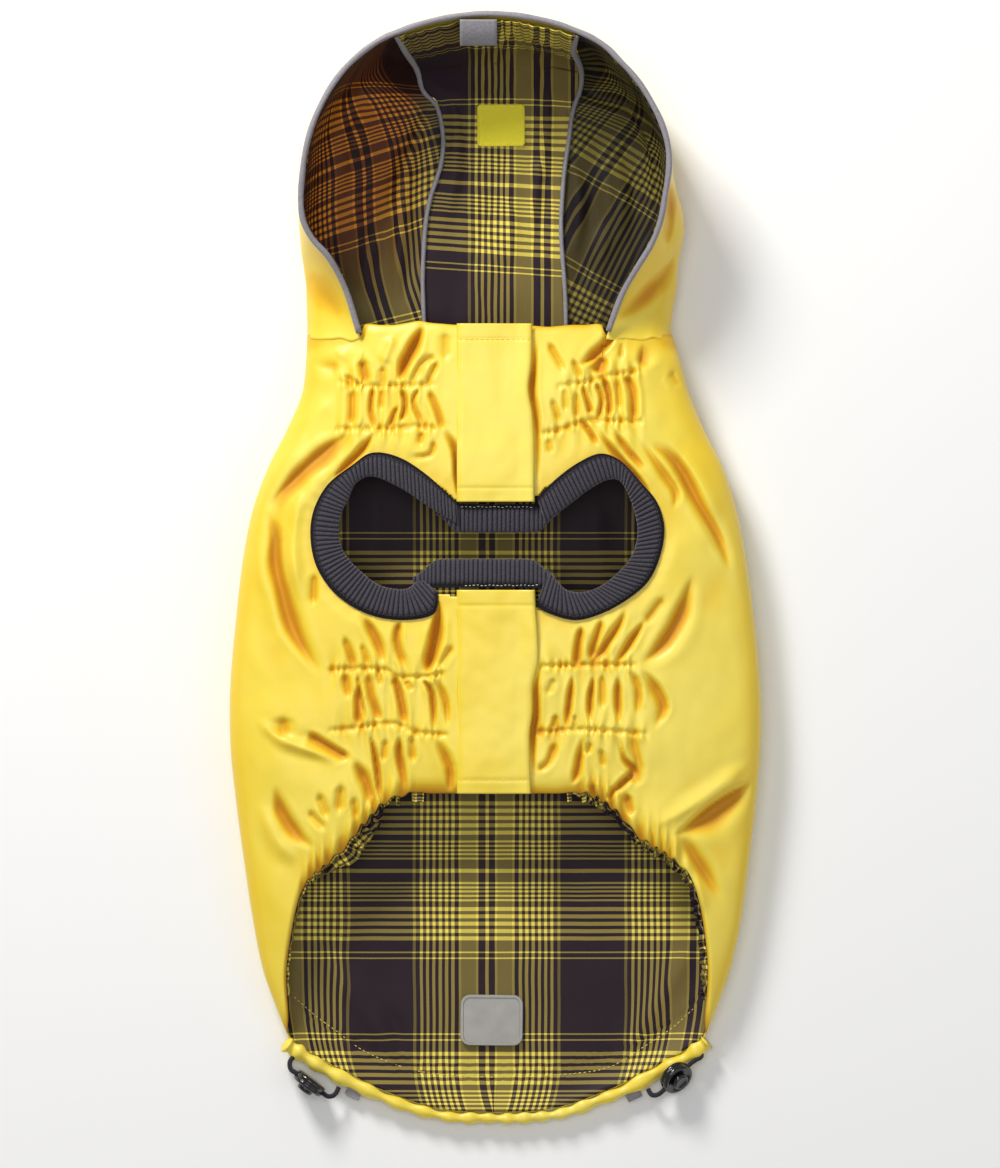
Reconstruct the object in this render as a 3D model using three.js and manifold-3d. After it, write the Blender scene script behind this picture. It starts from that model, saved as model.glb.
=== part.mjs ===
import * as THREE from 'three';
import { mergeVertices } from 'three/addons/utils/BufferGeometryUtils.js';
import Module from 'manifold-3d';

// A hooded raincoat for a dog, laid on its back: belly side up, the hood opened like a bowl.
// Millimetres. +Z is up, +Y runs from the tail to the hood, +X across the chest.

const wasm = await Module();
wasm.setup();

// ---------- driving dimensions ----------

const shellWall = 1.2;
const liningWall = 1.0;
const seamGap = 0.3;
const sideGap = 1.0;          // along the side seams, where the two edges are not quite parallel
const placketWall = 1.2;
const ribWall = 2.6;
const ribRows = 26;
const pipingRadius = 1.5;
const hemRadius = 2.2;
const cordRadius = 1.25;

const neckY = 118;
const chestY = 124;
const bellyHemY = -114.5;
const sideSeamShare = 0.42;   // height of the side seam, as a share of the coat's height there
const bellyPower = 2.6;       // how square the belly's cross-section is
const cornerReach = 24;       // how far the back panel rolls up to the side seam
const placketHalf = 19.3;
const panelInner = 10;        // belly panels stop under the placket

// Body of the coat, one row per station: reach of the side seams and height of the belly.
const bodyStations = [
  { y: 124, left: 96, right: 89, high: 35 },
  { y: 104, left: 97, right: 95, high: 37 },
  { y: 89, left: 99, right: 99, high: 38 },
  { y: 70, left: 107, right: 107, high: 39 },
  { y: 52, left: 116, right: 116, high: 40 },
  { y: 30, left: 124, right: 123, high: 40 },
  { y: 5, left: 129, right: 128, high: 40 },
  { y: -25, left: 132.5, right: 132, high: 39 },
  { y: -60, left: 135.5, right: 135.2, high: 38 },
  { y: -90, left: 135.5, right: 135.5, high: 37 },
  { y: -120, left: 132.5, right: 133, high: 35 },
  { y: -150, left: 128.5, right: 129.5, high: 33 },
  { y: -180, left: 124, right: 125.5, high: 30 },
  { y: -205, left: 119, right: 120, high: 27 },
  { y: -225, left: 112, right: 113, high: 24 },
  { y: -240, left: 106, right: 107, high: 22 },
  { y: -285, left: 90, right: 90, high: 18 },
];

// Tail hem: how far down the tail the cloth reaches at each distance from the centre line.
const tailHem = [
  { x: 0, y: -279 },
  { x: 35, y: -277 },
  { x: 66, y: -267 },
  { x: 84, y: -257 },
  { x: 97, y: -248 },
  { x: 107, y: -238 },
];

// Columns of a belly panel, from the placket to the side seam. reach is a distance from the
// centre line; share is a fraction of the way from the last reach to the side seam.
const leftColumns = [
  { reach: panelInner, top: 124, end: bellyHemY },
  { reach: 20, top: 124, end: bellyHemY },
  { reach: 27, top: 124.5, end: bellyHemY },
  { reach: 33, top: 125, end: bellyHemY },
  { reach: 39, top: 126, end: -114 },
  { reach: 45, top: 125, end: -114.5 },
  { reach: 52, top: 124, end: -117 },
  { reach: 59, top: 124, end: -121 },
  { reach: 67, top: 124, end: -130 },
  { reach: 68.4, top: neckY, end: -131 },
  { share: 0.12, top: neckY, end: -141 },
  { share: 0.3, top: neckY, end: -151 },
  { share: 0.52, top: neckY, end: -164 },
  { share: 0.72, top: neckY, end: -198 },
  { share: 0.87, top: neckY, end: -226 },
  { share: 0.96, top: neckY, end: -235 },
  { share: 1, top: neckY, end: -238 },
];
const rightColumns = [
  { reach: panelInner, top: 124, end: bellyHemY },
  { reach: 20, top: 123.5, end: bellyHemY },
  { reach: 27, top: 123, end: bellyHemY },
  { reach: 33, top: 123.5, end: bellyHemY },
  { reach: 39, top: 124, end: -114 },
  { reach: 46, top: 124, end: -114.5 },
  { reach: 54.4, top: 124, end: -118 },
  { reach: 55.8, top: neckY, end: -119 },
  { reach: 64, top: neckY, end: -126 },
  { reach: 71, top: neckY, end: -135 },
  { share: 0.14, top: neckY, end: -141 },
  { share: 0.3, top: neckY, end: -147 },
  { share: 0.52, top: neckY, end: -160 },
  { share: 0.72, top: neckY, end: -196 },
  { share: 0.87, top: neckY, end: -226 },
  { share: 0.96, top: neckY, end: -235 },
  { share: 1, top: neckY, end: -238 },
];

// Rows of a belly panel. Below stretchY the rows open out, to follow the curved belly hem.
const bellyRows = [
  124, 112, 102, 93, 82, 72, 60, 46, 30, 12, -6, -24, -40,
  -47, -53, -60, -67, -75, -84, -92, -103, bellyHemY,
];
const stretchY = -40;

// Elastic gathering: each block of pleats lies between two stitched rows.
const gathers = [
  { side: -1, rowA: 93, rowB: 71, tilt: 0 },
  { side: 1, rowA: 96, rowB: 73, tilt: 0.1 },
  { side: -1, rowA: -53, rowB: -83, tilt: 0 },
  { side: 1, rowA: -50, rowB: -84, tilt: 0 },
];
const pleats = [
  { reach: 27, depth: 1.6 },
  { reach: 39, depth: 2.6 },
  { reach: 52, depth: 1.8 },
  { reach: 66, depth: 2.4 },
];
const pleatWidth = 4;
const pleatFade = 16;

// Largest soft folds of the belly side: a ridge from one end to the other.
const folds = [
  { x1: -80, y1: 66, x2: -118, y2: 24, high: 2.6, wide: 7 },
  { x1: -118, y1: 24, x2: -104, y2: -26, high: 2.0, wide: 8 },
  { x1: -128, y1: -72, x2: -96, y2: -92, high: 2.4, wide: 7 },
  { x1: -96, y1: -92, x2: -74, y2: -98, high: 2.2, wide: 6 },
  { x1: 82, y1: 64, x2: 112, y2: 8, high: 2.6, wide: 7 },
  { x1: 76, y1: -138, x2: 128, y2: -99, high: 3.0, wide: 8 },
  { x1: 66, y1: 90, x2: 92, y2: 60, high: 2.2, wide: 6 },
  { x1: -52, y1: 92, x2: -38, y2: 121, high: 2.2, wide: 5 },
];

// Rib-knit binding round each lobe of the leg opening: outer and inner edge of each station,
// from the upper bridge round the lobe to the lower bridge.
const leftRib = [
  { outX: -19.6, outY: 33.4, inX: -18.6, inY: 22.2 },
  { outX: -34.4, outY: 47.2, inX: -33.4, inY: 30.9 },
  { outX: -48.7, outY: 56.4, inX: -47.7, inY: 40.5 },
  { outX: -62.5, outY: 58.9, inX: -62.0, inY: 46.7 },
  { outX: -73.2, outY: 52.3, inX: -70.6, inY: 43.6 },
  { outX: -85.4, outY: 42.6, inX: -74.7, inY: 35.4 },
  { outX: -92.6, outY: 29.3, inX: -78.8, inY: 26.3 },
  { outX: -94.1, outY: 15.0, inX: -79.3, inY: 15.0 },
  { outX: -90.5, outY: -0.3, inX: -76.2, inY: 6.9 },
  { outX: -80.3, outY: -14.0, inX: -68.6, inY: -1.3 },
  { outX: -65.0, outY: -23.2, inX: -58.9, inY: -8.4 },
  { outX: -47.7, outY: -26.3, inX: -47.7, inY: -10.5 },
  { outX: -31.4, outY: -23.2, inX: -42.1, inY: -8.4 },
  { outX: -29.3, outY: -12.5, inX: -38.5, inY: -3.3 },
];
const rightRib = [
  { outX: 21.2, outY: 36.0, inX: 25.2, inY: 22.7 },
  { outX: 30.9, outY: 45.6, inX: 37.5, inY: 32.4 },
  { outX: 42.1, outY: 53.8, inX: 48.2, inY: 40.5 },
  { outX: 53.3, outY: 58.4, inX: 57.4, inY: 45.1 },
  { outX: 63.5, outY: 54.8, inX: 63.5, inY: 44.1 },
  { outX: 74.2, outY: 43.6, inX: 68.1, inY: 36.0 },
  { outX: 82.4, outY: 33.4, inX: 71.1, inY: 27.3 },
  { outX: 85.9, outY: 20.7, inX: 72.2, inY: 17.1 },
  { outX: 83.9, outY: 6.9, inX: 69.1, inY: 6.4 },
  { outX: 77.8, outY: -6.4, inX: 62.0, inY: -2.3 },
  { outX: 66.6, outY: -16.1, inX: 53.3, inY: -8.9 },
  { outX: 53.3, outY: -23.2, inX: 44.6, inY: -12.0 },
  { outX: 40.5, outY: -26.3, inX: 36.5, inY: -11.0 },
  { outX: 27.8, outY: -23.2, inX: 31.4, inY: -6.4 },
  { outX: 20.7, outY: -19.1, inX: 26.8, inY: -0.3 },
];
const bridgeDrop = 4.3;       // the bridges tuck under the ends of the lobes
const upperBridge = { x1: -30, x2: 32, outY: 33.2, inY: 18.5 };
const lowerBridge = { x1: -42, x2: 31, outY: -10.2, inY: 4.6 };

// Hood side panels, one row per station from the neck to the brim: the mouth's edge,
// how far the cloth bulges beyond it, and the seam to the centre panel.
const hoodLeft = [
  { rimX: -68.6, rimY: 118.3, rimZ: 33, out: -96.5, seamX: -36.5, seamY: 118.3, seamZ: 0 },
  { rimX: -78.8, rimY: 149.0, rimZ: 41, out: -97.5, seamX: -38.0, seamY: 146.0, seamZ: 0 },
  { rimX: -92.0, rimY: 167.0, rimZ: 47, out: -98.5, seamX: -36.0, seamY: 170.0, seamZ: 0 },
  { rimX: -98.0, rimY: 182.0, rimZ: 51, out: -99.5, seamX: -33.0, seamY: 190.0, seamZ: 0 },
  { rimX: -98.0, rimY: 200.0, rimZ: 54, out: -98.5, seamX: -28.5, seamY: 208.0, seamZ: 0 },
  { rimX: -93.6, rimY: 222.0, rimZ: 56, out: -93.8, seamX: -27.3, seamY: 225.0, seamZ: 0 },
  { rimX: -82.4, rimY: 245.0, rimZ: 57, out: -82.0, seamX: -30.0, seamY: 239.0, seamZ: 1 },
  { rimX: -69.0, rimY: 260.0, rimZ: 58, out: -69.0, seamX: -38.0, seamY: 248.0, seamZ: 7 },
  { rimX: -58.0, rimY: 267.5, rimZ: 58, out: -59.0, seamX: -41.0, seamY: 259.0, seamZ: 20 },
  { rimX: -50.0, rimY: 271.0, rimZ: 58, out: -51.0, seamX: -46.0, seamY: 267.0, seamZ: 46 },
];
const hoodRight = [
  { rimX: 56.2, rimY: 118.3, rimZ: 34, out: 89.5, seamX: 36.0, seamY: 118.3, seamZ: 0 },
  { rimX: 66.0, rimY: 143.0, rimZ: 41, out: 91.5, seamX: 35.0, seamY: 142.0, seamZ: 0 },
  { rimX: 78.8, rimY: 163.0, rimZ: 46, out: 94.0, seamX: 34.4, seamY: 165.0, seamZ: 0 },
  { rimX: 85.4, rimY: 182.0, rimZ: 50, out: 94.5, seamX: 34.4, seamY: 186.0, seamZ: 0 },
  { rimX: 88.0, rimY: 203.0, rimZ: 54, out: 90.5, seamX: 34.8, seamY: 205.0, seamZ: 0 },
  { rimX: 85.5, rimY: 222.0, rimZ: 56, out: 87.0, seamX: 38.0, seamY: 223.0, seamZ: 0 },
  { rimX: 74.7, rimY: 243.5, rimZ: 57, out: 75.5, seamX: 41.0, seamY: 238.0, seamZ: 1 },
  { rimX: 64.0, rimY: 256.0, rimZ: 58, out: 65.0, seamX: 43.0, seamY: 248.0, seamZ: 7 },
  { rimX: 53.8, rimY: 265.5, rimZ: 58, out: 55.0, seamX: 43.0, seamY: 259.0, seamZ: 20 },
  { rimX: 41.0, rimY: 272.0, rimZ: 58, out: 42.0, seamX: 39.0, seamY: 268.0, seamZ: 46 },
];
const brimBulge = 8.5;        // how far the brim's middle stands beyond its seams
const brimHigh = 58;

const hookPatch = { x1: -9.4, x2: 15, y1: 216.5, y2: 238, thick: 1.2 };
const brimTab = { x1: -18, x2: 0.8, topY: 277.4, topZ: 62.2, lowY: 265.0, lowZ: 54.5, thick: 1.2 };
const badge = { x: -2, y: -231.5, wide: 32, long: 26, corner: 5, thick: 2 };

// Cord locks at the tail corners: centre of the barrel, its axis, and the cord through it.
const lockRadius = 8.6;
const lockThick = 5.6;
const plungerRadius = 4.2;
const plungerThick = 2.2;
const cordChannel = 1.9;
const locks = [
  {
    name: 'left',
    centre: [-95.2, -263.4, 10.4],
    axis: [-0.6, -0.8, 0],
    cord: [
      [-102.6, -249.2, 8.6], [-105.2, -252.4, 9.6], [-104.8, -256.2, 10.2], [-102.0, -258.3, 10.4],
      [-95.2, -263.4, 10.4], [-88.4, -268.5, 10.4], [-85.4, -270.2, 10.2], [-82.2, -269.2, 9.4],
      [-80.2, -265.5, 8.6],
    ],
  },
  {
    name: 'right',
    centre: [92.5, -260.5, 10.6],
    axis: [0.545, -0.545, 0.636],
    cord: [
      [105.4, -247.8, 8.6], [105.2, -250.0, 9.4], [102.4, -251.6, 10.2], [98.5, -254.5, 10.6],
      [92.5, -260.5, 10.6], [86.5, -266.5, 10.6], [83.2, -269.2, 10.2], [80.0, -269.4, 9.4],
      [78.0, -266.4, 8.6],
    ],
  },
];
const lockTabs = [
  { name: 'left', x: -72.9, y: -268.8, turn: -0.45 },
  { name: 'right', x: 70.8, y: -269.7, turn: 0.45 },
];
const tabSize = { long: 8, wide: 5, thick: 1.2, z: 5 };

// ---------- materials ----------

const shellCloth = new THREE.MeshStandardMaterial({ color: 0xf4d93c, roughness: 0.5, metalness: 0 });
const checkLining = new THREE.MeshStandardMaterial({ color: 0x4d4436, roughness: 0.75, metalness: 0 });
const greyTape = new THREE.MeshStandardMaterial({ color: 0x8c878c, roughness: 0.6, metalness: 0 });
const ribKnit = new THREE.MeshStandardMaterial({ color: 0x46424b, roughness: 0.9, metalness: 0 });
const loopTape = new THREE.MeshStandardMaterial({ color: 0xd6cb38, roughness: 0.85, metalness: 0 });
const clearRubber = new THREE.MeshStandardMaterial({ color: 0x96948c, roughness: 0.4, metalness: 0 });
const glossPlastic = new THREE.MeshStandardMaterial({ color: 0x121114, roughness: 0.2, metalness: 0 });
const elastic = new THREE.MeshStandardMaterial({ color: 0x17151a, roughness: 0.8, metalness: 0 });

// ---------- small helpers ----------

const coat = new THREE.Group();

function addMesh(name, geometry, material) {
  const mesh = new THREE.Mesh(geometry, material);
  mesh.name = name;
  coat.add(mesh);
  return mesh;
}

// Smooth curve through four equally spaced values, between the middle two.
function spline(a, b, c, d, t) {
  const t2 = t * t;
  const t3 = t2 * t;
  const pull = (c - a) * t + (2 * a - 5 * b + 4 * c - d) * t2 + (3 * b - a - 3 * c + d) * t3;
  return b + 0.5 * pull;
}

// A table with named columns, read at a fraction of the way down its rows.
function rowAt(table, share) {
  const place = Math.min(Math.max(share, 0), 1) * (table.length - 1);
  const k = Math.min(Math.floor(place), table.length - 2);
  const rows = [k - 1, k, k + 1, k + 2].map((i) => table[Math.min(Math.max(i, 0), table.length - 1)]);
  const row = {};
  for (const key of Object.keys(table[0])) {
    row[key] = spline(rows[0][key], rows[1][key], rows[2][key], rows[3][key], place - k);
  }
  return row;
}

// A column of a table, read at a value of another column, by straight lines.
function readAt(table, keyIn, keyOut, value) {
  const rising = table[table.length - 1][keyIn] > table[0][keyIn];
  const rows = rising ? table : [...table].reverse();
  const k = Math.max(rows.findIndex((row) => row[keyIn] >= value), 1);
  const last = value > rows[rows.length - 1][keyIn] ? rows.length - 1 : k;
  const low = rows[last - 1];
  const high = rows[last];
  const share = (value - low[keyIn]) / (high[keyIn] - low[keyIn]);
  return low[keyOut] + Math.min(Math.max(share, 0), 1) * (high[keyOut] - low[keyOut]);
}

function meshFromParts(positions, indices) {
  const geometry = new THREE.BufferGeometry();
  geometry.setAttribute('position', new THREE.Float32BufferAttribute(positions, 3));
  let volume = 0;
  const at = (i) => new THREE.Vector3(positions[3 * i], positions[3 * i + 1], positions[3 * i + 2]);
  for (let i = 0; i < indices.length; i += 3) {
    volume += at(indices[i]).dot(at(indices[i + 1]).cross(at(indices[i + 2])));
  }
  const facing = volume < 0 ? indices.slice().reverse() : indices;
  geometry.setIndex(facing);
  return geometry;
}

// Outward normals of a grid of points, told which side is out by a point inside.
function gridNormals(grid, inside) {
  const last = grid.length - 1;
  let total = 0;
  const normals = grid.map((row, i) => row.map((point, j) => {
    const end = row.length - 1;
    const along = grid[Math.min(i + 1, last)][j].clone().sub(grid[Math.max(i - 1, 0)][j]);
    const across = row[Math.min(j + 1, end)].clone().sub(row[Math.max(j - 1, 0)]);
    const normal = along.cross(across).normalize();
    total += normal.dot(point.clone().sub(inside));
    return normal;
  }));
  if (total < 0) {
    normals.forEach((row) => row.forEach((normal) => normal.negate()));
  }
  return normals;
}

// A wall of cloth: the grid's surface moved inwards to two depths, closed round its edge.
function wall(grid, inside, depthA, depthB) {
  const normals = gridNormals(grid, inside);
  const rows = grid.length;
  const columns = grid[0].length;
  const positions = [];
  for (const depth of [depthA, depthB]) {
    grid.forEach((row, i) => row.forEach((point, j) => {
      const moved = point.clone().addScaledVector(normals[i][j], -depth);
      positions.push(moved.x, moved.y, Math.max(moved.z, 0));
    }));
  }
  const near = (i, j) => i * columns + j;
  const far = (i, j) => rows * columns + i * columns + j;
  const indices = [];
  const quad = (a, b, c, d) => indices.push(a, b, c, a, c, d);
  for (let i = 0; i < rows - 1; i += 1) {
    for (let j = 0; j < columns - 1; j += 1) {
      quad(near(i, j), near(i, j + 1), near(i + 1, j + 1), near(i + 1, j));
      quad(far(i, j), far(i + 1, j), far(i + 1, j + 1), far(i, j + 1));
    }
    quad(near(i, 0), near(i + 1, 0), far(i + 1, 0), far(i, 0));
    quad(near(i, columns - 1), far(i, columns - 1), far(i + 1, columns - 1), near(i + 1, columns - 1));
  }
  for (let j = 0; j < columns - 1; j += 1) {
    quad(near(0, j), far(0, j), far(0, j + 1), near(0, j + 1));
    quad(near(rows - 1, j), near(rows - 1, j + 1), far(rows - 1, j + 1), far(rows - 1, j));
  }
  return meshFromParts(positions, indices);
}

// Even steps along a run of points.
function resample(points, count) {
  const lengths = [0];
  for (let i = 1; i < points.length; i += 1) {
    lengths.push(lengths[i - 1] + points[i].distanceTo(points[i - 1]));
  }
  const total = lengths[lengths.length - 1];
  return Array.from({ length: count }, (_, n) => {
    const target = (total * n) / (count - 1);
    let k = 1;
    while (k < points.length - 1 && lengths[k] < target) {
      k += 1;
    }
    const share = (target - lengths[k - 1]) / Math.max(lengths[k] - lengths[k - 1], 1e-6);
    return points[k - 1].clone().lerp(points[k], share);
  });
}

function roundTube(points, radius, sides, steps) {
  const shape = new THREE.Shape();
  shape.absarc(0, 0, radius, 0, 2 * Math.PI, false);
  const path = new THREE.CatmullRomCurve3(points, false, 'centripetal');
  return new THREE.ExtrudeGeometry(shape, {
    steps,
    bevelEnabled: false,
    extrudePath: path,
    curveSegments: sides / 2,
  });
}

function toManifold(geometry) {
  const bare = geometry.clone();
  bare.deleteAttribute('normal');
  bare.deleteAttribute('uv');
  const merged = mergeVertices(bare, 1e-5);
  return new wasm.Manifold(new wasm.Mesh({
    numProp: 3,
    vertProperties: new Float32Array(merged.attributes.position.array),
    triVerts: new Uint32Array(merged.index.array),
  }));
}

function fromManifold(solid) {
  const mesh = solid.getMesh();
  const geometry = new THREE.BufferGeometry();
  geometry.setAttribute('position', new THREE.Float32BufferAttribute(mesh.vertProperties, 3));
  geometry.setIndex(new THREE.Uint32BufferAttribute(mesh.triVerts, 1));
  return geometry;
}

// ---------- body ----------

function bodyReach(side, y) {
  return readAt(bodyStations, 'y', side < 0 ? 'left' : 'right', y);
}

function bodyHigh(y) {
  return readAt(bodyStations, 'y', 'high', y);
}

function bellyHigh(x, y) {
  const share = Math.min(Math.abs(x) / bodyReach(x, y), 1);
  const high = bodyHigh(y);
  const seam = high * sideSeamShare;
  return seam + (high - seam) * (1 - share ** bellyPower) ** (1 / bellyPower);
}

// Pleats of the gathered blocks, as a dip, and the large folds, as a lift.
function creaseLift(x, y) {
  let lift = 0;
  for (const block of gathers) {
    if (block.side * x > 0) {
      const low = block.rowB + block.tilt * (Math.abs(x) - 45);
      const high = block.rowA + block.tilt * (Math.abs(x) - 45);
      const beyond = Math.max(y - high, low - y, 0);
      const fade = Math.exp(-((beyond / pleatFade) ** 2));
      for (const pleat of pleats) {
        lift -= pleat.depth * fade * Math.exp(-(((Math.abs(x) - pleat.reach) / pleatWidth) ** 2));
      }
    }
  }
  for (const fold of folds) {
    const dx = fold.x2 - fold.x1;
    const dy = fold.y2 - fold.y1;
    const along = ((x - fold.x1) * dx + (y - fold.y1) * dy) / (dx * dx + dy * dy);
    const share = Math.min(Math.max(along, 0), 1);
    const away = Math.hypot(x - fold.x1 - share * dx, y - fold.y1 - share * dy);
    lift += fold.high * Math.exp(-((away / fold.wide) ** 2));
  }
  return lift;
}

const tailEase = 0.7;         // the flaps lift off the back panel towards the tail
const tailEaseFrom = -195;

function bellyPoint(side, reach, y) {
  const limit = bodyReach(side, y);
  const x = side * Math.min(reach, limit);
  const edge = Math.min((limit - Math.abs(x)) / 14, 1);
  const ease = tailEase * Math.max((tailEaseFrom - y) / 40, 0);
  return new THREE.Vector3(x, y, bellyHigh(x, y) + edge * creaseLift(x, y) + sideGap + ease);
}

function bellyGrid(side, columns) {
  const lastReach = columns.filter((column) => column.reach).at(-1).reach;
  return bellyRows.map((rowY) => columns.map((column) => {
    const down = Math.max((stretchY - rowY) / (stretchY - bellyHemY), 0);
    const up = Math.max((rowY - 112) / (bellyRows[0] - 112), 0);
    const y = down > 0
      ? stretchY + down * (column.end - stretchY)
      : rowY + up * (column.top - bellyRows[0]) - (1 - up) * Math.max(rowY + 6 - column.top, 0);
    const reach = column.reach ?? lastReach + column.share * (bodyReach(side, y) - lastReach);
    return bellyPoint(side, reach, y);
  }));
}

const bodyInside = new THREE.Vector3(0, -40, 16);

// The leg opening: the binding's outer edge, a seam's gap further out.
function legCutter() {
  const edge = (table) => ribGrid(table, ribRows).map(([outer, , inner]) => {
    const away = outer.clone().sub(inner).setZ(0).normalize();
    return outer.clone().addScaledVector(away, 1.5 * seamGap);
  });
  const outline = [...edge(leftRib).reverse(), ...edge(rightRib)];
  const shape = new THREE.Shape(outline.map((point) => new THREE.Vector2(point.x, point.y)));
  const cutter = new THREE.ExtrudeGeometry(shape, { depth: 80, bevelEnabled: false });
  return toManifold(cutter);
}

function addBelly() {
  const cutter = legCutter();
  const left = wall(bellyGrid(-1, leftColumns), bodyInside, 0, shellWall);
  const right = wall(bellyGrid(1, rightColumns), bodyInside, 0, shellWall);
  addMesh('belly_left', fromManifold(toManifold(left).subtract(cutter)), shellCloth);
  addMesh('belly_right', fromManifold(toManifold(right).subtract(cutter)), shellCloth);
}

function addPlackets() {
  const spans = [
    { name: 'placket_upper', from: chestY + 0.6, to: 33.9, rows: 7 },
    { name: 'placket_lower', from: -10.9, to: bellyHemY, rows: 7 },
  ];
  for (const span of spans) {
    const grid = Array.from({ length: span.rows }, (_, i) => {
      const y = span.from + ((span.to - span.from) * i) / (span.rows - 1);
      return [-1, -0.33, 0.33, 1].map((share) => {
        const x = share * placketHalf;
        return new THREE.Vector3(x, y, bellyHigh(x, y) + sideGap);
      });
    });
    addMesh(span.name, wall(grid, bodyInside, -seamGap - placketWall, -seamGap), shellCloth);
  }
}

// Back panel: flat where it rests, rolled up at its sides to the side seams.
const backShares = [0, 0.4, 0.75, 1];
const rollAngles = [25, 50, 75, 90];
const backRowShares = [0, 0.08, 0.16, 0.25, 0.34, 0.43, 0.52, 0.61, 0.7, 0.79, 0.86, 0.92, 0.97, 1];
const tailLift = 6;
const tailLiftReach = 22;

function backColumn(side, y, column) {
  const reach = bodyReach(side, y);
  const seam = bodyHigh(y) * sideSeamShare;
  const flat = reach - cornerReach;
  if (column < backShares.length) {
    return { x: side * flat * backShares[column], z: 0, flatness: 1 };
  }
  const angle = THREE.MathUtils.degToRad(rollAngles[column - backShares.length]);
  return {
    x: side * (flat + cornerReach * Math.sin(angle)),
    z: seam * (1 - Math.cos(angle)),
    flatness: Math.cos(angle),
  };
}

function backGrid(top) {
  const half = backShares.length + rollAngles.length;
  const columns = [];
  for (let c = half - 1; c > 0; c -= 1) {
    columns.push({ side: -1, c });
  }
  for (let c = 0; c < half; c += 1) {
    columns.push({ side: 1, c });
  }
  return backRowShares.map((share) => columns.map(({ side, c }) => {
    const rough = backColumn(side, -245, c);
    const end = readAt(tailHem, 'x', 'y', Math.abs(rough.x));
    const y = top + share * (end - top);
    const place = backColumn(side, y, c);
    const near = Math.max(1 - (y - end) / tailLiftReach, 0);
    return new THREE.Vector3(place.x, y, place.z + place.flatness * tailLift * near * near);
  }));
}

function addBack() {
  const grid = backGrid(neckY);
  addMesh('back_shell', wall(grid, bodyInside, 0, shellWall), shellCloth);
  const depth = shellWall + seamGap;
  addMesh('lining_back', wall(grid, bodyInside, depth, depth + liningWall), checkLining);
  return grid;
}

// Rolled hem along the tail, just outside the back panel's edge.
function addHem(grid) {
  const edge = grid[grid.length - 1];
  const centre = new THREE.Vector3(0, -150, 0);
  const points = edge.slice(1, -1).map((point) => {
    const away = point.clone().sub(centre).setZ(0).normalize();
    const moved = point.clone().addScaledVector(away, hemRadius + seamGap);
    moved.z = Math.max(point.z, hemRadius);
    return moved;
  });
  addMesh('hem_band', roundTube(points, hemRadius, 8, 44), shellCloth);
}

// ---------- leg opening ----------

const ribDrop = 1.6;          // the inner edge sits lower than the outer one
const ribProud = 1.0;         // how far the knit stands above the cloth round it

function ribPoint(x, y, drop) {
  return new THREE.Vector3(x, y, bellyHigh(x, y) + ribProud - drop);
}

function ribGrid(table, rows) {
  return Array.from({ length: rows }, (_, i) => {
    const row = rowAt(table, i / (rows - 1));
    const outer = ribPoint(row.outX, row.outY, 0);
    const inner = ribPoint(row.inX, row.inY, ribDrop);
    const middle = outer.clone().lerp(inner, 0.5).add(new THREE.Vector3(0, 0, 0.7));
    return [outer, middle, inner];
  });
}

function bridgeGrid(bridge, rows) {
  return Array.from({ length: rows }, (_, i) => {
    const x = bridge.x1 + ((bridge.x2 - bridge.x1) * i) / (rows - 1);
    const outer = ribPoint(x, bridge.outY, bridgeDrop);
    const inner = ribPoint(x, bridge.inY, bridgeDrop + ribDrop);
    const middle = outer.clone().lerp(inner, 0.5).add(new THREE.Vector3(0, 0, 0.5));
    return [outer, middle, inner];
  });
}

function addRibs() {
  const below = new THREE.Vector3(0, 12, -400);
  addMesh('rib_left', wall(ribGrid(leftRib, ribRows), below, 0, ribWall), ribKnit);
  addMesh('rib_right', wall(ribGrid(rightRib, ribRows), below, 0, ribWall), ribKnit);
  addMesh('rib_top', wall(bridgeGrid(upperBridge, 6), below, 0.3, ribWall), ribKnit);
  addMesh('rib_bottom', wall(bridgeGrid(lowerBridge, 6), below, 0.3, ribWall), ribKnit);
}

// ---------- hood ----------

const hoodInside = new THREE.Vector3(0, 195, 40);
const hoodRows = 13;
const hoodColumns = 9;

// Cross-section of the body at the neck, from the centre panel's seam to the mouth's edge.
function neckSection(side, seamX, rimX, y) {
  const reach = bodyReach(side, y);
  const seam = bodyHigh(y) * sideSeamShare;
  const flat = reach - cornerReach;
  const points = [new THREE.Vector3(seamX, y, 0)];
  for (let angle = 0; angle <= 90; angle += 15) {
    const turn = THREE.MathUtils.degToRad(angle);
    const x = side * (flat + cornerReach * Math.sin(turn));
    points.push(new THREE.Vector3(x, y, seam * (1 - Math.cos(turn))));
  }
  for (let step = 1; step <= 10; step += 1) {
    const x = side * reach + ((rimX - side * reach) * step) / 10;
    points.push(new THREE.Vector3(x, y, bellyHigh(x, y)));
  }
  return points;
}

// Cross-section of the bowl: along the floor, round, and up the wall to the mouth.
function bowlSection(row) {
  const rise = row.rimZ - row.seamZ;
  const runX = row.out - row.seamX;
  const runY = row.rimY - row.seamY;
  const stops = [
    { x: 0, y: 0, z: 0 },
    { x: 0.5, y: 0.3, z: 0 },
    { x: 0.86, y: 0.6, z: 0.04 },
    { x: 1, y: 0.85, z: 0.42 },
  ];
  const points = stops.map((stop) => new THREE.Vector3(
    row.seamX + stop.x * runX,
    row.seamY + stop.y * runY,
    row.seamZ + stop.z * rise,
  ));
  points.push(new THREE.Vector3(row.rimX, row.rimY, row.rimZ));
  return new THREE.CatmullRomCurve3(points, false, 'centripetal').getPoints(40);
}

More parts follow.
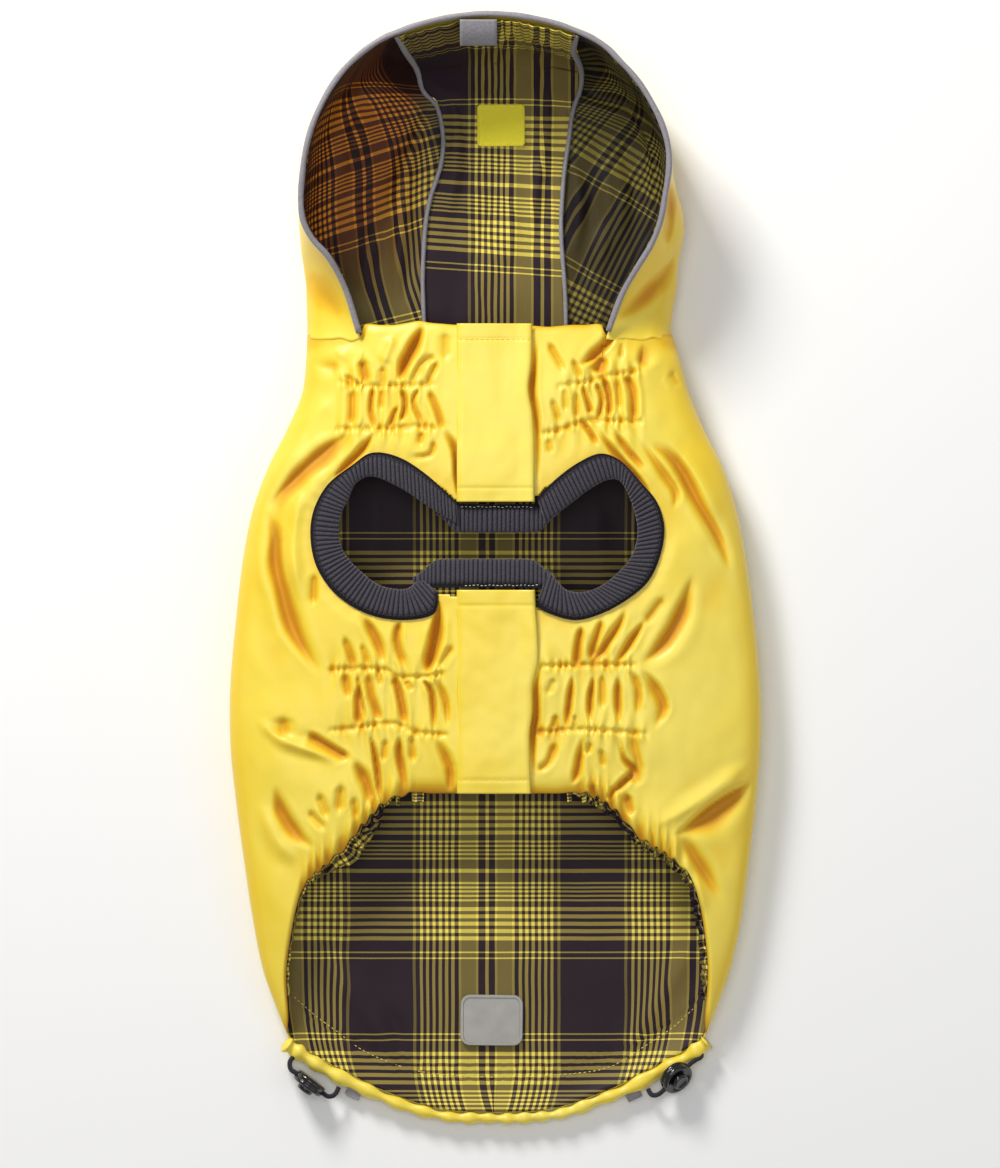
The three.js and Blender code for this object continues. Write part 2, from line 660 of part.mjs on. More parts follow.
function hoodSideGrid(side, table) {
  return Array.from({ length: hoodRows }, (_, i) => {
    const share = i / (hoodRows - 1);
    const row = rowAt(table, share);
    row.seamX += side * seamGap * 0.5;
    const bowl = resample(bowlSection(row), hoodColumns);
    const neck = resample(neckSection(side, row.seamX, row.rimX, row.seamY), hoodColumns);
    const blend = Math.max(1 - share / 0.12, 0);
    return bowl.map((point, j) => {
      const mixed = point.lerp(neck[j], blend);
      mixed.z = Math.max(mixed.z, 0);
      return mixed;
    });
  });
}

function hoodCentrePoint(share, across) {
  const left = rowAt(hoodLeft, share);
  const right = rowAt(hoodRight, share);
  const inset = seamGap * 0.5;
  const x1 = left.seamX + inset;
  const x2 = right.seamX - inset;
  const bow = 4 * across * (1 - across);
  const lift = Math.max((share - 0.62) / 0.38, 0);
  return new THREE.Vector3(
    x1 + (x2 - x1) * across,
    left.seamY + (right.seamY - left.seamY) * across + bow * brimBulge * lift,
    Math.max(left.seamZ + (right.seamZ - left.seamZ) * across, 0),
  );
}

function hoodCentreGrid() {
  const rows = Array.from({ length: hoodRows }, (_, i) => i / (hoodRows - 1));
  const grid = rows.map((share) => [0, 0.25, 0.5, 0.75, 1].map((across) => hoodCentrePoint(share, across)));
  const last = grid[grid.length - 1];
  grid.push(last.map((point, j) => {
    const bow = 4 * (j / 4) * (1 - j / 4);
    return new THREE.Vector3(point.x * 1.03, point.y + 3 + 0.5 * bow, brimHigh);
  }));
  return grid;
}

function addHood() {
  const panels = [
    { name: 'left', grid: hoodSideGrid(-1, hoodLeft) },
    { name: 'right', grid: hoodSideGrid(1, hoodRight) },
    { name: 'centre', grid: hoodCentreGrid() },
  ];
  const depth = shellWall + seamGap;
  for (const panel of panels) {
    addMesh(`hood_${panel.name}`, wall(panel.grid, hoodInside, 0, shellWall), shellCloth);
    const lining = wall(panel.grid, hoodInside, depth, depth + liningWall);
    addMesh(`hood_lining_${panel.name}`, lining, checkLining);
  }
  return panels;
}

// Piping: round the mouth, and over the two seams inside.
function addPiping(panels) {
  const [left, right, centre] = panels.map((panel) => panel.grid);
  const lift = new THREE.Vector3(0, 0, pipingRadius + seamGap + 0.1);
  const rimOf = (row) => row[row.length - 1];
  const mouth = (grid) => [
    rimOf(grid[0]).clone().lerp(rimOf(grid[1]), 0.3),
    ...grid.slice(1, -1).map(rimOf),
  ];
  const brim = centre[centre.length - 1];
  const path = [...mouth(left), ...brim, ...mouth(right).reverse()];
  addMesh('piping_rim', roundTube(path.map((point) => point.clone().add(lift)), pipingRadius, 8, 50), greyTape);
  for (const [name, table] of [['left', hoodLeft], ['right', hoodRight]]) {
    const above = shellWall + liningWall + 2 * seamGap + pipingRadius + 0.7;
    const points = Array.from({ length: 12 }, (_, i) => {
      const share = 0.03 + (i / 11) * 0.9;
      const row = rowAt(table, share);
      const next = rowAt(table, share + 0.02);
      const slope = new THREE.Vector2(next.seamY - row.seamY, next.seamZ - row.seamZ).normalize();
      const place = new THREE.Vector3(row.seamX, row.seamY, Math.max(row.seamZ, 0));
      return place.add(new THREE.Vector3(0, -slope.y * above, slope.x * above));
    });
    addMesh(`piping_seam_${name}`, roundTube(points, pipingRadius * 0.8, 8, 22), greyTape);
  }
}

function addHoodTrims() {
  const above = shellWall + seamGap + liningWall + 2 * seamGap;
  const rows = [0, 1, 2, 3].map((i) => [0, 0.5, 1].map((j) => {
    const x = hookPatch.x1 + j * (hookPatch.x2 - hookPatch.x1);
    const y = hookPatch.y1 + (i / 3) * (hookPatch.y2 - hookPatch.y1);
    const rise = Math.max(y - 233, 0) * 0.12;
    return new THREE.Vector3(x, y, rise);
  }));
  addMesh('hook_patch', wall(rows, hoodInside, above, above + hookPatch.thick), loopTape);
  const tab = [0, 0.5, 1].map((down) => [brimTab.x1, brimTab.x2].map((x) => new THREE.Vector3(
    x,
    brimTab.topY + down * (brimTab.lowY - brimTab.topY),
    brimTab.topZ + down * (brimTab.lowZ - brimTab.topZ),
  )));
  addMesh('tape_tab_brim', wall(tab, hoodInside, -brimTab.thick / 2, brimTab.thick / 2), greyTape);
}

// ---------- tail fittings ----------

function addBadge() {
  const w = badge.wide / 2;
  const h = badge.long / 2;
  const r = badge.corner;
  const shape = new THREE.Shape();
  shape.moveTo(-w + r, -h);
  shape.lineTo(w - r, -h);
  shape.absarc(w - r, -h + r, r, -Math.PI / 2, 0, false);
  shape.absarc(w - r, h - r, r, 0, Math.PI / 2, false);
  shape.absarc(-w + r, h - r, r, Math.PI / 2, Math.PI, false);
  shape.absarc(-w + r, -h + r, r, Math.PI, 1.5 * Math.PI, false);
  const plate = new THREE.ExtrudeGeometry(shape, { depth: badge.thick, bevelEnabled: false, curveSegments: 4 });
  const mesh = addMesh('badge', plate, clearRubber);
  mesh.position.set(badge.x, badge.y, shellWall + liningWall + 2 * seamGap);
}

function turnedCylinder(radius, height, sides, centre, axis) {
  const cylinder = new THREE.CylinderGeometry(radius, radius, height, sides);
  const turn = new THREE.Quaternion().setFromUnitVectors(new THREE.Vector3(0, 1, 0), axis);
  cylinder.applyQuaternion(turn);
  cylinder.translate(centre.x, centre.y, centre.z);
  return cylinder;
}

function addLocks() {
  for (const lock of locks) {
    const centre = new THREE.Vector3(...lock.centre);
    const axis = new THREE.Vector3(...lock.axis).normalize();
    const points = lock.cord.map((point) => new THREE.Vector3(...point));
    const run = points[5].clone().sub(points[3]).normalize();
    const barrel = toManifold(turnedCylinder(lockRadius, lockThick, 20, centre, axis));
    const channel = toManifold(turnedCylinder(cordChannel, 4 * lockRadius, 10, centre, run));
    addMesh(`lock_${lock.name}`, fromManifold(barrel.subtract(channel)), glossPlastic);
    const seat = centre.clone().addScaledVector(axis, (lockThick + plungerThick) / 2 + seamGap);
    addMesh(`plunger_${lock.name}`, turnedCylinder(plungerRadius, plungerThick, 16, seat, axis), glossPlastic);
    addMesh(`cord_${lock.name}`, roundTube(points, cordRadius, 8, 16), elastic);
  }
  for (const tab of lockTabs) {
    const box = new THREE.BoxGeometry(tabSize.long, tabSize.wide, tabSize.thick);
    const mesh = addMesh(`tape_tab_${tab.name}`, box, greyTape);
    mesh.position.set(tab.x, tab.y, tabSize.z);
    mesh.rotation.z = tab.turn;
  }
}

// ---------- the coat ----------

addBelly();
addPlackets();
const back = addBack();
addHem(back);
addRibs();
const hoodPanels = addHood();
addPiping(hoodPanels);
addHoodTrims();
addBadge();
addLocks();

// The origin is the middle of the coat's box, on the surface it lies on.
const box = new THREE.Box3().setFromObject(coat);
coat.position.set(-(box.min.x + box.max.x) / 2, -(box.min.y + box.max.y) / 2, -box.min.z);

const raincoat = new THREE.Group();
raincoat.add(coat);
raincoat.updateMatrixWorld(true);

export default raincoat;
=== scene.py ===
import math
import bmesh
import bpy
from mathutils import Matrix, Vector, noise


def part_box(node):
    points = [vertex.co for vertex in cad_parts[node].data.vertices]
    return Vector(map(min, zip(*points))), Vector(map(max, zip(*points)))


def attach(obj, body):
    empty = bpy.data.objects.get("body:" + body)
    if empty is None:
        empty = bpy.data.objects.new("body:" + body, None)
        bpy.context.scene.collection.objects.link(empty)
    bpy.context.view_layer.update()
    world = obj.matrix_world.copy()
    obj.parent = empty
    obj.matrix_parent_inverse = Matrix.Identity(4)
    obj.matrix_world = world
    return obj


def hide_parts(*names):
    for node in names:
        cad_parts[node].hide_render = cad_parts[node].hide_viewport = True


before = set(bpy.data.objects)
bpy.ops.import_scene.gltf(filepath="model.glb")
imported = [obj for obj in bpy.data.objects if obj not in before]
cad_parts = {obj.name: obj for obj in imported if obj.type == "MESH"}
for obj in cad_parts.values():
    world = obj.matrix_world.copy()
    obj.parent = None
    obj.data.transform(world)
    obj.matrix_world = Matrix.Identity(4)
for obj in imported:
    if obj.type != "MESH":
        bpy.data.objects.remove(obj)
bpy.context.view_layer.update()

# The coat lies on its back, belly side up. Sizes below are millimetres on the cloth;
# toRow turns them into the frame's metres.
badgeMiddle = {"x": -2.0, "y": -231.5}
badgeLow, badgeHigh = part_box("badge")
slide = {
    "x": (badgeLow[0] + badgeHigh[0]) * 500 - badgeMiddle["x"],
    "y": (badgeLow[1] + badgeHigh[1]) * 500 - badgeMiddle["y"],
}


def toRow(x, y, z):
    return Vector(((x + slide["x"]) / 1000, (y + slide["y"]) / 1000, z / 1000))


def tableOf(columns, rows):
    # bare rows read under the names of their columns; a short row leaves its last columns out
    names = columns.split()
    return [dict(zip(names, row)) for row in rows]


# Camera, light and floor.

cameraSet = {"x": 2.3, "y": -7.9, "away": 4.162, "lens": 250, "sensor": 36}


def makeCamera():
    data = bpy.data.cameras.new("viewCamera")
    data.lens = cameraSet["lens"]
    data.sensor_width = cameraSet["sensor"]
    data.clip_end = 20
    camera = bpy.data.objects.new("viewCamera", data)
    bpy.context.collection.objects.link(camera)
    camera.location = toRow(cameraSet["x"], cameraSet["y"], cameraSet["away"] * 1000)
    bpy.context.scene.camera = camera


makeCamera()

lightSet = [
    {"name": "keyPanel", "at": (-0.72, 1.35, 1.0), "size": 0.5, "power": 31.5, "colour": (1, 0.985, 0.96)},
    {"name": "fillPanel", "at": (1.4, -0.7, 1.6), "size": 1.8, "power": 6, "colour": (0.96, 0.98, 1)},
    {"name": "topPanel", "at": (-0.2, 0.1, 2.6), "size": 1.2, "power": 14, "colour": (1, 1, 1)},
]
worldSet = {"colour": (1, 1, 1, 1), "strength": 0.27}


def makeLights():
    for light in lightSet:
        data = bpy.data.lights.new(light["name"], "AREA")
        data.energy = light["power"]
        data.size = light["size"]
        data.color = light["colour"]
        lamp = bpy.data.objects.new(light["name"], data)
        bpy.context.collection.objects.link(lamp)
        lamp.location = light["at"]
        lamp.rotation_mode = "QUATERNION"
        lamp.rotation_quaternion = (-Vector(light["at"])).to_track_quat("-Z", "Y")
    world = bpy.data.worlds.new("studio")
    world.use_nodes = True
    background = world.node_tree.nodes["Background"]
    background.inputs["Color"].default_value = worldSet["colour"]
    background.inputs["Strength"].default_value = worldSet["strength"]
    bpy.context.scene.world = world
    bpy.context.scene.view_settings.view_transform = "Standard"


makeLights()
print("camera and lights ready")

# Shader helper: expressions on sockets.


class Paint:
    # wraps one socket of a node tree, so that maths on it adds nodes
    def __init__(self, tree, socket):
        self.tree = tree
        self.socket = socket

    def node(self, kind, settings=None, values=None, out=0):
        made = self.tree.nodes.new(kind)
        for key, value in (settings or {}).items():
            setattr(made, key, value)
        for key, value in (values or {}).items():
            if isinstance(value, Paint):
                self.tree.links.new(value.socket, made.inputs[key])
            else:
                made.inputs[key].default_value = value
        return Paint(self.tree, made.outputs[out])

    def maths(self, operation, a, b=None):
        values = {0: a} if b is None else {0: a, 1: b}
        return self.node("ShaderNodeMath", {"operation": operation}, values)

    def __add__(self, other):
        return self.maths("ADD", self, other)

    def __sub__(self, other):
        return self.maths("SUBTRACT", self, other)

    def __mul__(self, other):
        return self.maths("MULTIPLY", self, other)

    def mix(self, colourA, colourB):
        values = {0: self, 6: colourA, 7: colourB}
        return self.node("ShaderNodeMix", {"data_type": "RGBA"}, values, 2)

    def ramp(self, stops, smooth=False):
        made = self.tree.nodes.new("ShaderNodeValToRGB")
        made.color_ramp.interpolation = "LINEAR" if smooth else "CONSTANT"
        elements = made.color_ramp.elements
        while len(elements) < len(stops):
            elements.new(0.5)
        for element, (place, value) in zip(elements, stops):
            element.position = place
        for element, (place, value) in zip(elements, stops):
            element.color = (value, value, value, 1)
        self.tree.links.new(self.socket, made.inputs[0])
        return Paint(self.tree, made.outputs[0])


def newMaterial(name, roughness, sheen=0.0, coat=0.0, specular=0.5):
    material = bpy.data.materials.new(name)
    material.use_nodes = True
    tree = material.node_tree
    shader = tree.nodes["Principled BSDF"]
    shader.inputs["Roughness"].default_value = roughness
    shader.inputs["Sheen Weight"].default_value = sheen
    shader.inputs["Coat Weight"].default_value = coat
    shader.inputs["Specular IOR Level"].default_value = specular
    here = Paint(tree, None)
    return material, tree, shader, here


def bumpFrom(tree, shader, here, height, strength, distance):
    made = here.node("ShaderNodeBump", None, {"Strength": strength, "Distance": distance, "Height": height})
    tree.links.new(made.socket, shader.inputs["Normal"])


# Painted shade: the last two colours are shade colours, taken where the cloth slopes away and where it sinks
# into a trough, and the slope numbers on the last line set how much shade a slope takes; pale and warm are
# the cloth's own random tone.
clothLook = {
    "colour": (0.915, 0.69, 0.040, 1), "warm": (0.88, 0.60, 0.020, 1), "pale": (0.93, 0.765, 0.115, 1),
    "slope": (0.86, 0.545, 0.010, 1),
    "fold": (0.60, 0.235, 0.002, 1),
    "roughness": 0.40, "thread": 2600.0, "sheen": 0.08, "coat": 0.30,
    "slopeTone": 1.6, "slopeMost": 0.22, "slopeFrom": 0.965,
}


def makeShellCloth():
    look = clothLook
    material, tree, shader, here = newMaterial("coatedCloth", look["roughness"], look["sheen"], look["coat"])
    shader.inputs["Coat Roughness"].default_value = 0.36
    shader.inputs["Sheen Roughness"].default_value = 0.4
    place = here.node("ShaderNodeTexCoord", None, None, 3)
    blotch = here.node("ShaderNodeTexNoise", None, {"Vector": place, "Scale": 14.0, "Detail": 3.0})
    tone = blotch.ramp([(0.35, 0.0), (0.7, 1.0)], True)
    base = tone.mix(look["colour"], look["pale"])
    speck = here.node("ShaderNodeTexNoise", None, {"Vector": place, "Scale": 240.0, "Detail": 2.0})
    base = (speck * 0.16).mix(base, look["warm"])
    # Painted shade: the shade mask attribute, from trough depth and slope, mixes in the shade colours, and
    # there the coat is taken off and the cloth roughened.
    paintedShade = here.node("ShaderNodeAttribute", {"attribute_name": "paintedShade"}, None, 2)
    base = paintedShade.ramp([(0.0, 0.0), (0.4, 1.0)], True).mix(base, look["slope"])
    base = (paintedShade.ramp([(0.3, 0.0), (1.0, 1.0)], True) * 0.85).mix(base, look["fold"])
    dull = paintedShade.ramp([(0.1, 0.0), (0.7, 1.0)], True)
    tree.links.new((dull * -look["coat"] + look["coat"]).socket, shader.inputs["Coat Weight"])
    tree.links.new(base.socket, shader.inputs["Base Color"])
    rough = blotch * 0.10 + dull * 0.22 + 0.38
    tree.links.new(rough.socket, shader.inputs["Roughness"])
    thread = {"Vector": place, "Scale": look["thread"] / 6.28}
    waveX = here.node("ShaderNodeTexWave", {"bands_direction": "X"}, thread)
    waveY = here.node("ShaderNodeTexWave", {"bands_direction": "Y"}, thread)
    soft = here.node("ShaderNodeTexNoise", None, {"Vector": place, "Scale": 70.0, "Detail": 4.0})
    bumpFrom(tree, shader, here, waveX * waveY * 0.12 + soft * 1.0, 0.30, 0.0006)
    return material


# The check: stripe edges from the middle of each symmetric repeat outwards, in millimetres.
checkSet = {
    "acrossRepeat": 109.0, "alongRepeat": 128.5,
    "dark": (0.020, 0.0095, 0.016, 1), "olive": (0.285, 0.215, 0.048, 1), "bright": (0.95, 0.78, 0.115, 1),
    # painted glow colours for the upper left of the left hood lining
    "glowDark": (0.018, 0.004, 0.003, 1), "glowOlive": (0.17, 0.045, 0.007, 1),
    "glowBright": (0.84, 0.30, 0.020, 1), "brown": 0.45, "block": 0.62,
}
acrossStripes = (
    [{"start": 0, "end": 0.8, "value": 1}, {"start": 4.3, "end": 5.6, "value": 1},
     {"start": 5.6, "end": 13.3, "value": checkSet["block"]}, {"start": 13.3, "end": 14.5, "value": 1}]
    + [{"start": 16.8 + 3.2 * k, "end": 18.4 + 3.2 * k, "value": 1} for k in range(6)]
    + [{"start": 36.5, "end": 38.0, "value": checkSet["brown"]}]
)
alongStripes = (
    [{"start": 0, "end": 0.8, "value": 1}]
    + [{"start": 5.6 + 2.2 * k, "end": 6.6 + 2.2 * k, "value": 1} for k in range(5)]
    + [{"start": 18.4 + 3.75 * k, "end": 20.4 + 3.75 * k, "value": 1} for k in range(5)]
    + [{"start": 41.3, "end": 42.1, "value": 1}, {"start": 44.4, "end": 45.1, "value": 1}]
)


def stripeStops(stripes, repeat):
    stops = []
    at = 0.0
    for stripe in stripes:
        if stripe["start"] > at:
            stops.append((at / (repeat / 2), 0.0))
        stops.append((stripe["start"] / (repeat / 2), stripe["value"]))
        at = stripe["end"]
    stops.append((at / (repeat / 2), 0.0))
    return stops


def makeCheckLining(name, warm, shade=1.0):
    look = dict(checkSet)
    for part in ("dark", "olive", "bright"):
        look[part] = tuple(c * shade for c in checkSet[part][:3]) + (1,)
    material, tree, shader, here = newMaterial(name, 0.55, 0.03, 0.0, 0.2)
    place = here.node("ShaderNodeUVMap", {"uv_map": "cloth"})
    split = here.node("ShaderNodeSeparateXYZ", None, {0: place})
    across = split
    along = Paint(tree, split.socket.node.outputs[1])

    def folded(value, repeat):
        turns = value * (1000.0 / repeat) + 0.5
        share = here.maths("FRACT", turns) - 0.5
        return here.maths("ABSOLUTE", share) * 2.0

    warp = folded(across, look["acrossRepeat"]).ramp(stripeStops(acrossStripes, look["acrossRepeat"]))
    weft = folded(along, look["alongRepeat"]).ramp(stripeStops(alongStripes, look["alongRepeat"]))
    pin = here.maths("SINE", across * 9000.0) * 0.5 + 0.5
    either = here.maths("MAXIMUM", warp, weft)
    both = warp * weft
    base = both.mix(either.mix(look["dark"], look["olive"]), look["bright"])
    # Painted light and shade: over the upper left of the panel the check turns burnt orange and darker, an
    # orange glow as of light coming through the yellow shell.
    if warm:
        spot = here.node("ShaderNodeTexCoord", None, None, 3)
        side = here.node("ShaderNodeSeparateXYZ", None, {0: spot})
        tall = here.node("ShaderNodeSeparateXYZ", None, {0: spot}, 1)
        paintedGlow = ((side * -30.0 - 0.9) * (tall * 20.0 - 2.7)).ramp([(0.0, 0.0), (1.0, 1.0)], True)
        glowBase = both.mix(either.mix(look["glowDark"], look["glowOlive"]), look["glowBright"])
        base = paintedGlow.mix(base, glowBase)
    fleck = here.node("ShaderNodeTexNoise", None, {"Vector": place, "Scale": 900.0, "Detail": 1.0})
    base = (fleck * 0.25 * pin).mix(base, look["dark"])
    tree.links.new(base.socket, shader.inputs["Base Color"])
    ribs = here.maths("SINE", (across + along) * 7000.0)
    soft = here.node("ShaderNodeTexNoise", None, {"Vector": place, "Scale": 60.0, "Detail": 3.0})
    bumpFrom(tree, shader, here, ribs * 0.08 + soft, 0.25, 0.0007)
    return material


def makeRibKnit():
    # the band's own UV counts ribs along it, and runs from its seamed edge to its folded one
    material, tree, shader, here = newMaterial("ribKnit", 0.92, 0.35, 0.0, 0.15)
    place = here.node("ShaderNodeTexCoord", None, None, 3)
    band = here.node("ShaderNodeUVMap", {"uv_map": "cloth"})
    split = here.node("ShaderNodeSeparateXYZ", None, {0: band})
    across = Paint(tree, split.socket.node.outputs[1])
    grain = here.node("ShaderNodeTexNoise", None, {"Vector": place, "Scale": 900.0, "Detail": 3.0})
    loops = here.node("ShaderNodeTexVoronoi", None, {"Vector": place, "Scale": 1300.0})
    # Painted shade: the grooves between ribs and the step at the seamed edge are darker.
    rib = here.maths("ABSOLUTE", here.maths("COSINE", split * math.pi))
    ridge = rib.ramp([(0.15, 0.0), (0.8, 1.0)], True)
    clearOfSeamShade = across.ramp([(0.10, 0.0), (0.24, 1.0)], True)
    base = (ridge * clearOfSeamShade * (grain * 0.6 + 0.65)).mix((0.007, 0.006, 0.009, 1), (0.066, 0.059, 0.076, 1))
    tree.links.new(base.socket, shader.inputs["Base Color"])
    bumpFrom(tree, shader, here, loops + grain * 0.6, 0.6, 0.0006)
    return material


plainColumns = "look name roughness sheen coat specular texture scale detail first second bump distance"
plainLooks = tableOf(plainColumns, [
    ("tape", "greyTape", 0.55, 0.2, 0.0, 0.4, "Noise", 700.0, 2.0,
     (0.19, 0.18, 0.20, 1), (0.34, 0.32, 0.35, 1), 0.35, 0.0004),
    ("loop", "loopTape", 0.85, 0.3, 0.0, 0.2, "Noise", 1500.0, 3.0,
     (0.91, 0.736, 0.0192, 1), (0.95, 0.9, 0.08, 1), 0.8, 0.0005),
    ("rubber", "clearRubber", 0.35, 0.0, 0.25, 0.5, "Noise", 120.0, 2.0,
     (0.23, 0.22, 0.20, 1), (0.36, 0.345, 0.31, 1), 0.15, 0.0005),
    ("plastic", "glossBlack", 0.16, 0.0, 0.3, 0.6, "Noise", 400.0, 2.0,
     (0.006, 0.006, 0.007, 1), (0.014, 0.013, 0.016, 1), 0.05, 0.0003),
    ("elastic", "braidedElastic", 0.75, 0.2, 0.0, 0.3, "Voronoi", 1100.0, 0.0,
     (0.030, 0.028, 0.034, 1), (0.007, 0.007, 0.009, 1), 0.6, 0.0004),
    ("threadYellow", "yellowThread", 0.6, 0.2, 0.0, 0.4, "Noise", 2500.0, 2.0,
     (0.80, 0.60, 0.05, 1), (0.95, 0.80, 0.20, 1)),
    ("threadPale", "paleThread", 0.6, 0.2, 0.0, 0.4, "Noise", 2500.0, 2.0,
     (0.55, 0.52, 0.42, 1), (0.80, 0.78, 0.68, 1)),
    ("threadDark", "darkThread", 0.6, 0.2, 0.0, 0.4, "Noise", 2500.0, 2.0,
     (0.02, 0.018, 0.025, 1), (0.06, 0.055, 0.07, 1)),
    ("paper", "palePaper", 0.9, 0.0, 0.0, 0.1, "Noise", 5.0, 2.0,
     (0.93, 0.93, 0.93, 1), (0.95, 0.95, 0.95, 1)),
])


def makePlain(row):
    # two colours mixed by one fine texture, which gives the relief as well
    surface = [row[key] for key in ("name", "roughness", "sheen", "coat", "specular")]
    material, tree, shader, here = newMaterial(*surface)
    values = {"Vector": here.node("ShaderNodeTexCoord", None, None, 3), "Scale": row["scale"]}
    if row["texture"] == "Noise":
        values["Detail"] = row["detail"]
    grain = here.node("ShaderNodeTex" + row["texture"], None, values)
    base = grain.mix(row["first"], row["second"])
    tree.links.new(base.socket, shader.inputs["Base Color"])
    if "bump" in row:
        bumpFrom(tree, shader, here, grain, row["bump"], row["distance"])
    return material


looks = {
    "shell": makeShellCloth(),
    "check": makeCheckLining("wovenCheck", False),
    "checkWarm": makeCheckLining("wovenCheckGlow", True, 0.85),
    "checkShade": makeCheckLining("wovenCheckShade", False, 0.3),
    "rib": makeRibKnit(),
}
for row in plainLooks:
    looks[row["look"]] = makePlain(row)
print("materials ready")

# Tables and small helpers.


def spline(a, b, c, d, t):
    pull = (c - a) * t + (2 * a - 5 * b + 4 * c - d) * t * t + (3 * b - a - 3 * c + d) * t ** 3
    return b + 0.5 * pull


def rowAt(table, share):
    place = min(max(share, 0), 1) * (len(table) - 1)
    k = min(int(place), len(table) - 2)
    last = len(table) - 1
    near = [table[min(max(i, 0), last)] for i in (k - 1, k, k + 1, k + 2)]
    return {key: spline(*[row[key] for row in near], place - k) for key in table[0]}


def readAt(table, keyIn, keyOut, value):
    # a column read at a value of another column, with smooth slopes
    rows = table if table[-1][keyIn] > table[0][keyIn] else table[::-1]
    if value <= rows[0][keyIn]:
        return rows[0][keyOut]
    if value >= rows[-1][keyIn]:
        return rows[-1][keyOut]
    k = 1
    while rows[k][keyIn] < value:
        k += 1
    slopes = []
    for i in (k - 1, k):
        low, high = rows[max(i - 1, 0)], rows[min(i + 1, len(rows) - 1)]
        slopes.append((high[keyOut] - low[keyOut]) / (high[keyIn] - low[keyIn]))
    gap = rows[k][keyIn] - rows[k - 1][keyIn]
    t = (value - rows[k - 1][keyIn]) / gap
    a, b = rows[k - 1][keyOut], rows[k][keyOut]
    return ((2 * t ** 3 - 3 * t * t + 1) * a + (t ** 3 - 2 * t * t + t) * gap * slopes[0]
            + (3 * t * t - 2 * t ** 3) * b + (t ** 3 - t * t) * gap * slopes[1])


def lerp(a, b, t):
    return a + (b - a) * t


def clamp(value, low=0.0, high=1.0):
    return min(max(value, low), high)


def ease(value):
    t = clamp(value)
    return t * t * (3 - 2 * t)


def linkMesh(name, points, faces, material, uvs=None, smooth=True, paintedShade=None):
    mesh = bpy.data.meshes.new(name)
    mesh.from_pydata([tuple(p) for p in points], [], faces)
    if uvs:
        layer = mesh.uv_layers.new(name="cloth")
        for loop in mesh.loops:
            layer.data[loop.index].uv = uvs[loop.vertex_index]
    # the painted shade mask, kept for the shader
    if paintedShade:
        mesh.attributes.new("paintedShade", "FLOAT", "POINT").data.foreach_set("value", paintedShade)
    mesh.materials.append(material)
    if smooth:
        mesh.polygons.foreach_set("use_smooth", [True] * len(mesh.polygons))
    piece = bpy.data.objects.new(name, mesh)
    bpy.context.collection.objects.link(piece)
    return piece


def gridNormals(grid, inside):
    last, end, total = len(grid) - 1, len(grid[0]) - 1, 0.0
    normals = []
    for i, row in enumerate(grid):
        line = []
        for j, point in enumerate(row):
            along = grid[min(i + 1, last)][j] - grid[max(i - 1, 0)][j]
            across = row[min(j + 1, end)] - row[max(j - 1, 0)]
            normal = along.cross(across)
            normal.normalize()
            total += normal.dot(point - inside)
            line.append(normal)
        normals.append(line)
    if total < 0:
        normals = [[-n for n in line] for line in normals]
    return normals


def clothWall(name, grid, inside, depthA, depthB, material, uvGrid=None, keep=None, paintedShadeGrid=None):
    # a closed wall of cloth between two depths below the grid; keep says which cells stay
    normals = gridNormals(grid, inside)
    rows, columns = len(grid), len(grid[0])
    points, uvs = [], []
    for depth in (depthA, depthB):
        for i in range(rows):
            for j in range(columns):
                p = grid[i][j] - normals[i][j] * depth
                points.append(toRow(p.x, p.y, max(p.z, 0.0)))
                uvs.append(uvGrid[i][j] if uvGrid else (p.x / 1000, p.y / 1000))
    shift = rows * columns
    cells = {(i, j) for i in range(rows - 1) for j in range(columns - 1) if keep is None or keep(i, j)}
    one = grid[0][0], grid[0][1], grid[1][0]
    turned = (one[1] - one[0]).cross(one[2] - one[0]).dot(normals[0][0]) < 0
    faces = []

    def addFace(*corners):
        faces.append(corners[::-1] if turned else corners)

    for i, j in cells:
        a, b, c, d = i * columns + j, i * columns + j + 1, (i + 1) * columns + j + 1, (i + 1) * columns + j
        addFace(a, b, c, d)
        addFace(d + shift, c + shift, b + shift, a + shift)
        sides = [((i - 1, j), a, b), ((i, j + 1), b, c), ((i + 1, j), c, d), ((i, j - 1), d, a)]
        for other, p, q in sides:
            if other not in cells:
                addFace(q, p, p + shift, q + shift)
    used = sorted({v for face in faces for v in face})
    order = {v: k for k, v in enumerate(used)}
    faces = [tuple(order[v] for v in face) for face in faces]
    # painted shade grows where the wall slopes away from facing up
    if paintedShadeGrid:
        for line, normalLine in zip(paintedShadeGrid, normals):
            for j, normal in enumerate(normalLine):
                steep = clothLook["slopeTone"] * max(clothLook["slopeFrom"] - abs(normal.z), 0)
                line[j] = clamp(line[j] + min(clothLook["slopeMost"], steep))
    paintedShades = [d for line in paintedShadeGrid for d in line] * 2 if paintedShadeGrid else None
    paintedShade = [paintedShades[v] for v in used] if paintedShades else None
    return linkMesh(name, [points[v] for v in used], faces, material, [uvs[v] for v in used], True, paintedShade)


def cutOf(grid, fullness=1.0, keep=None, levelRows=None, gatherAlong=False):
    # the cut of a panel: its longest run each way, and its area with the fullness that gathers take
    def run(points):
        return sum((b - a).length for a, b in zip(points, points[1:]))

    across = max(run(line) for line in grid[:levelRows])
    along = max(run([line[j] for line in grid]) for j in range(len(grid[0])))
    area = 0.0
    for i in range(len(grid) - 1):
        for j in range(len(grid[0]) - 1):
            if keep is None or keep(i, j):
                side = grid[i][j + 1] - grid[i][j]
                area += side.cross(grid[i + 1][j] - grid[i][j]).length
    if gatherAlong:
        along *= fullness
    else:
        across *= fullness
    across, along, area = across / 1000, along / 1000, area * fullness / 1000000
    return {"flat": (across, along), "area": min(area, across * along)}


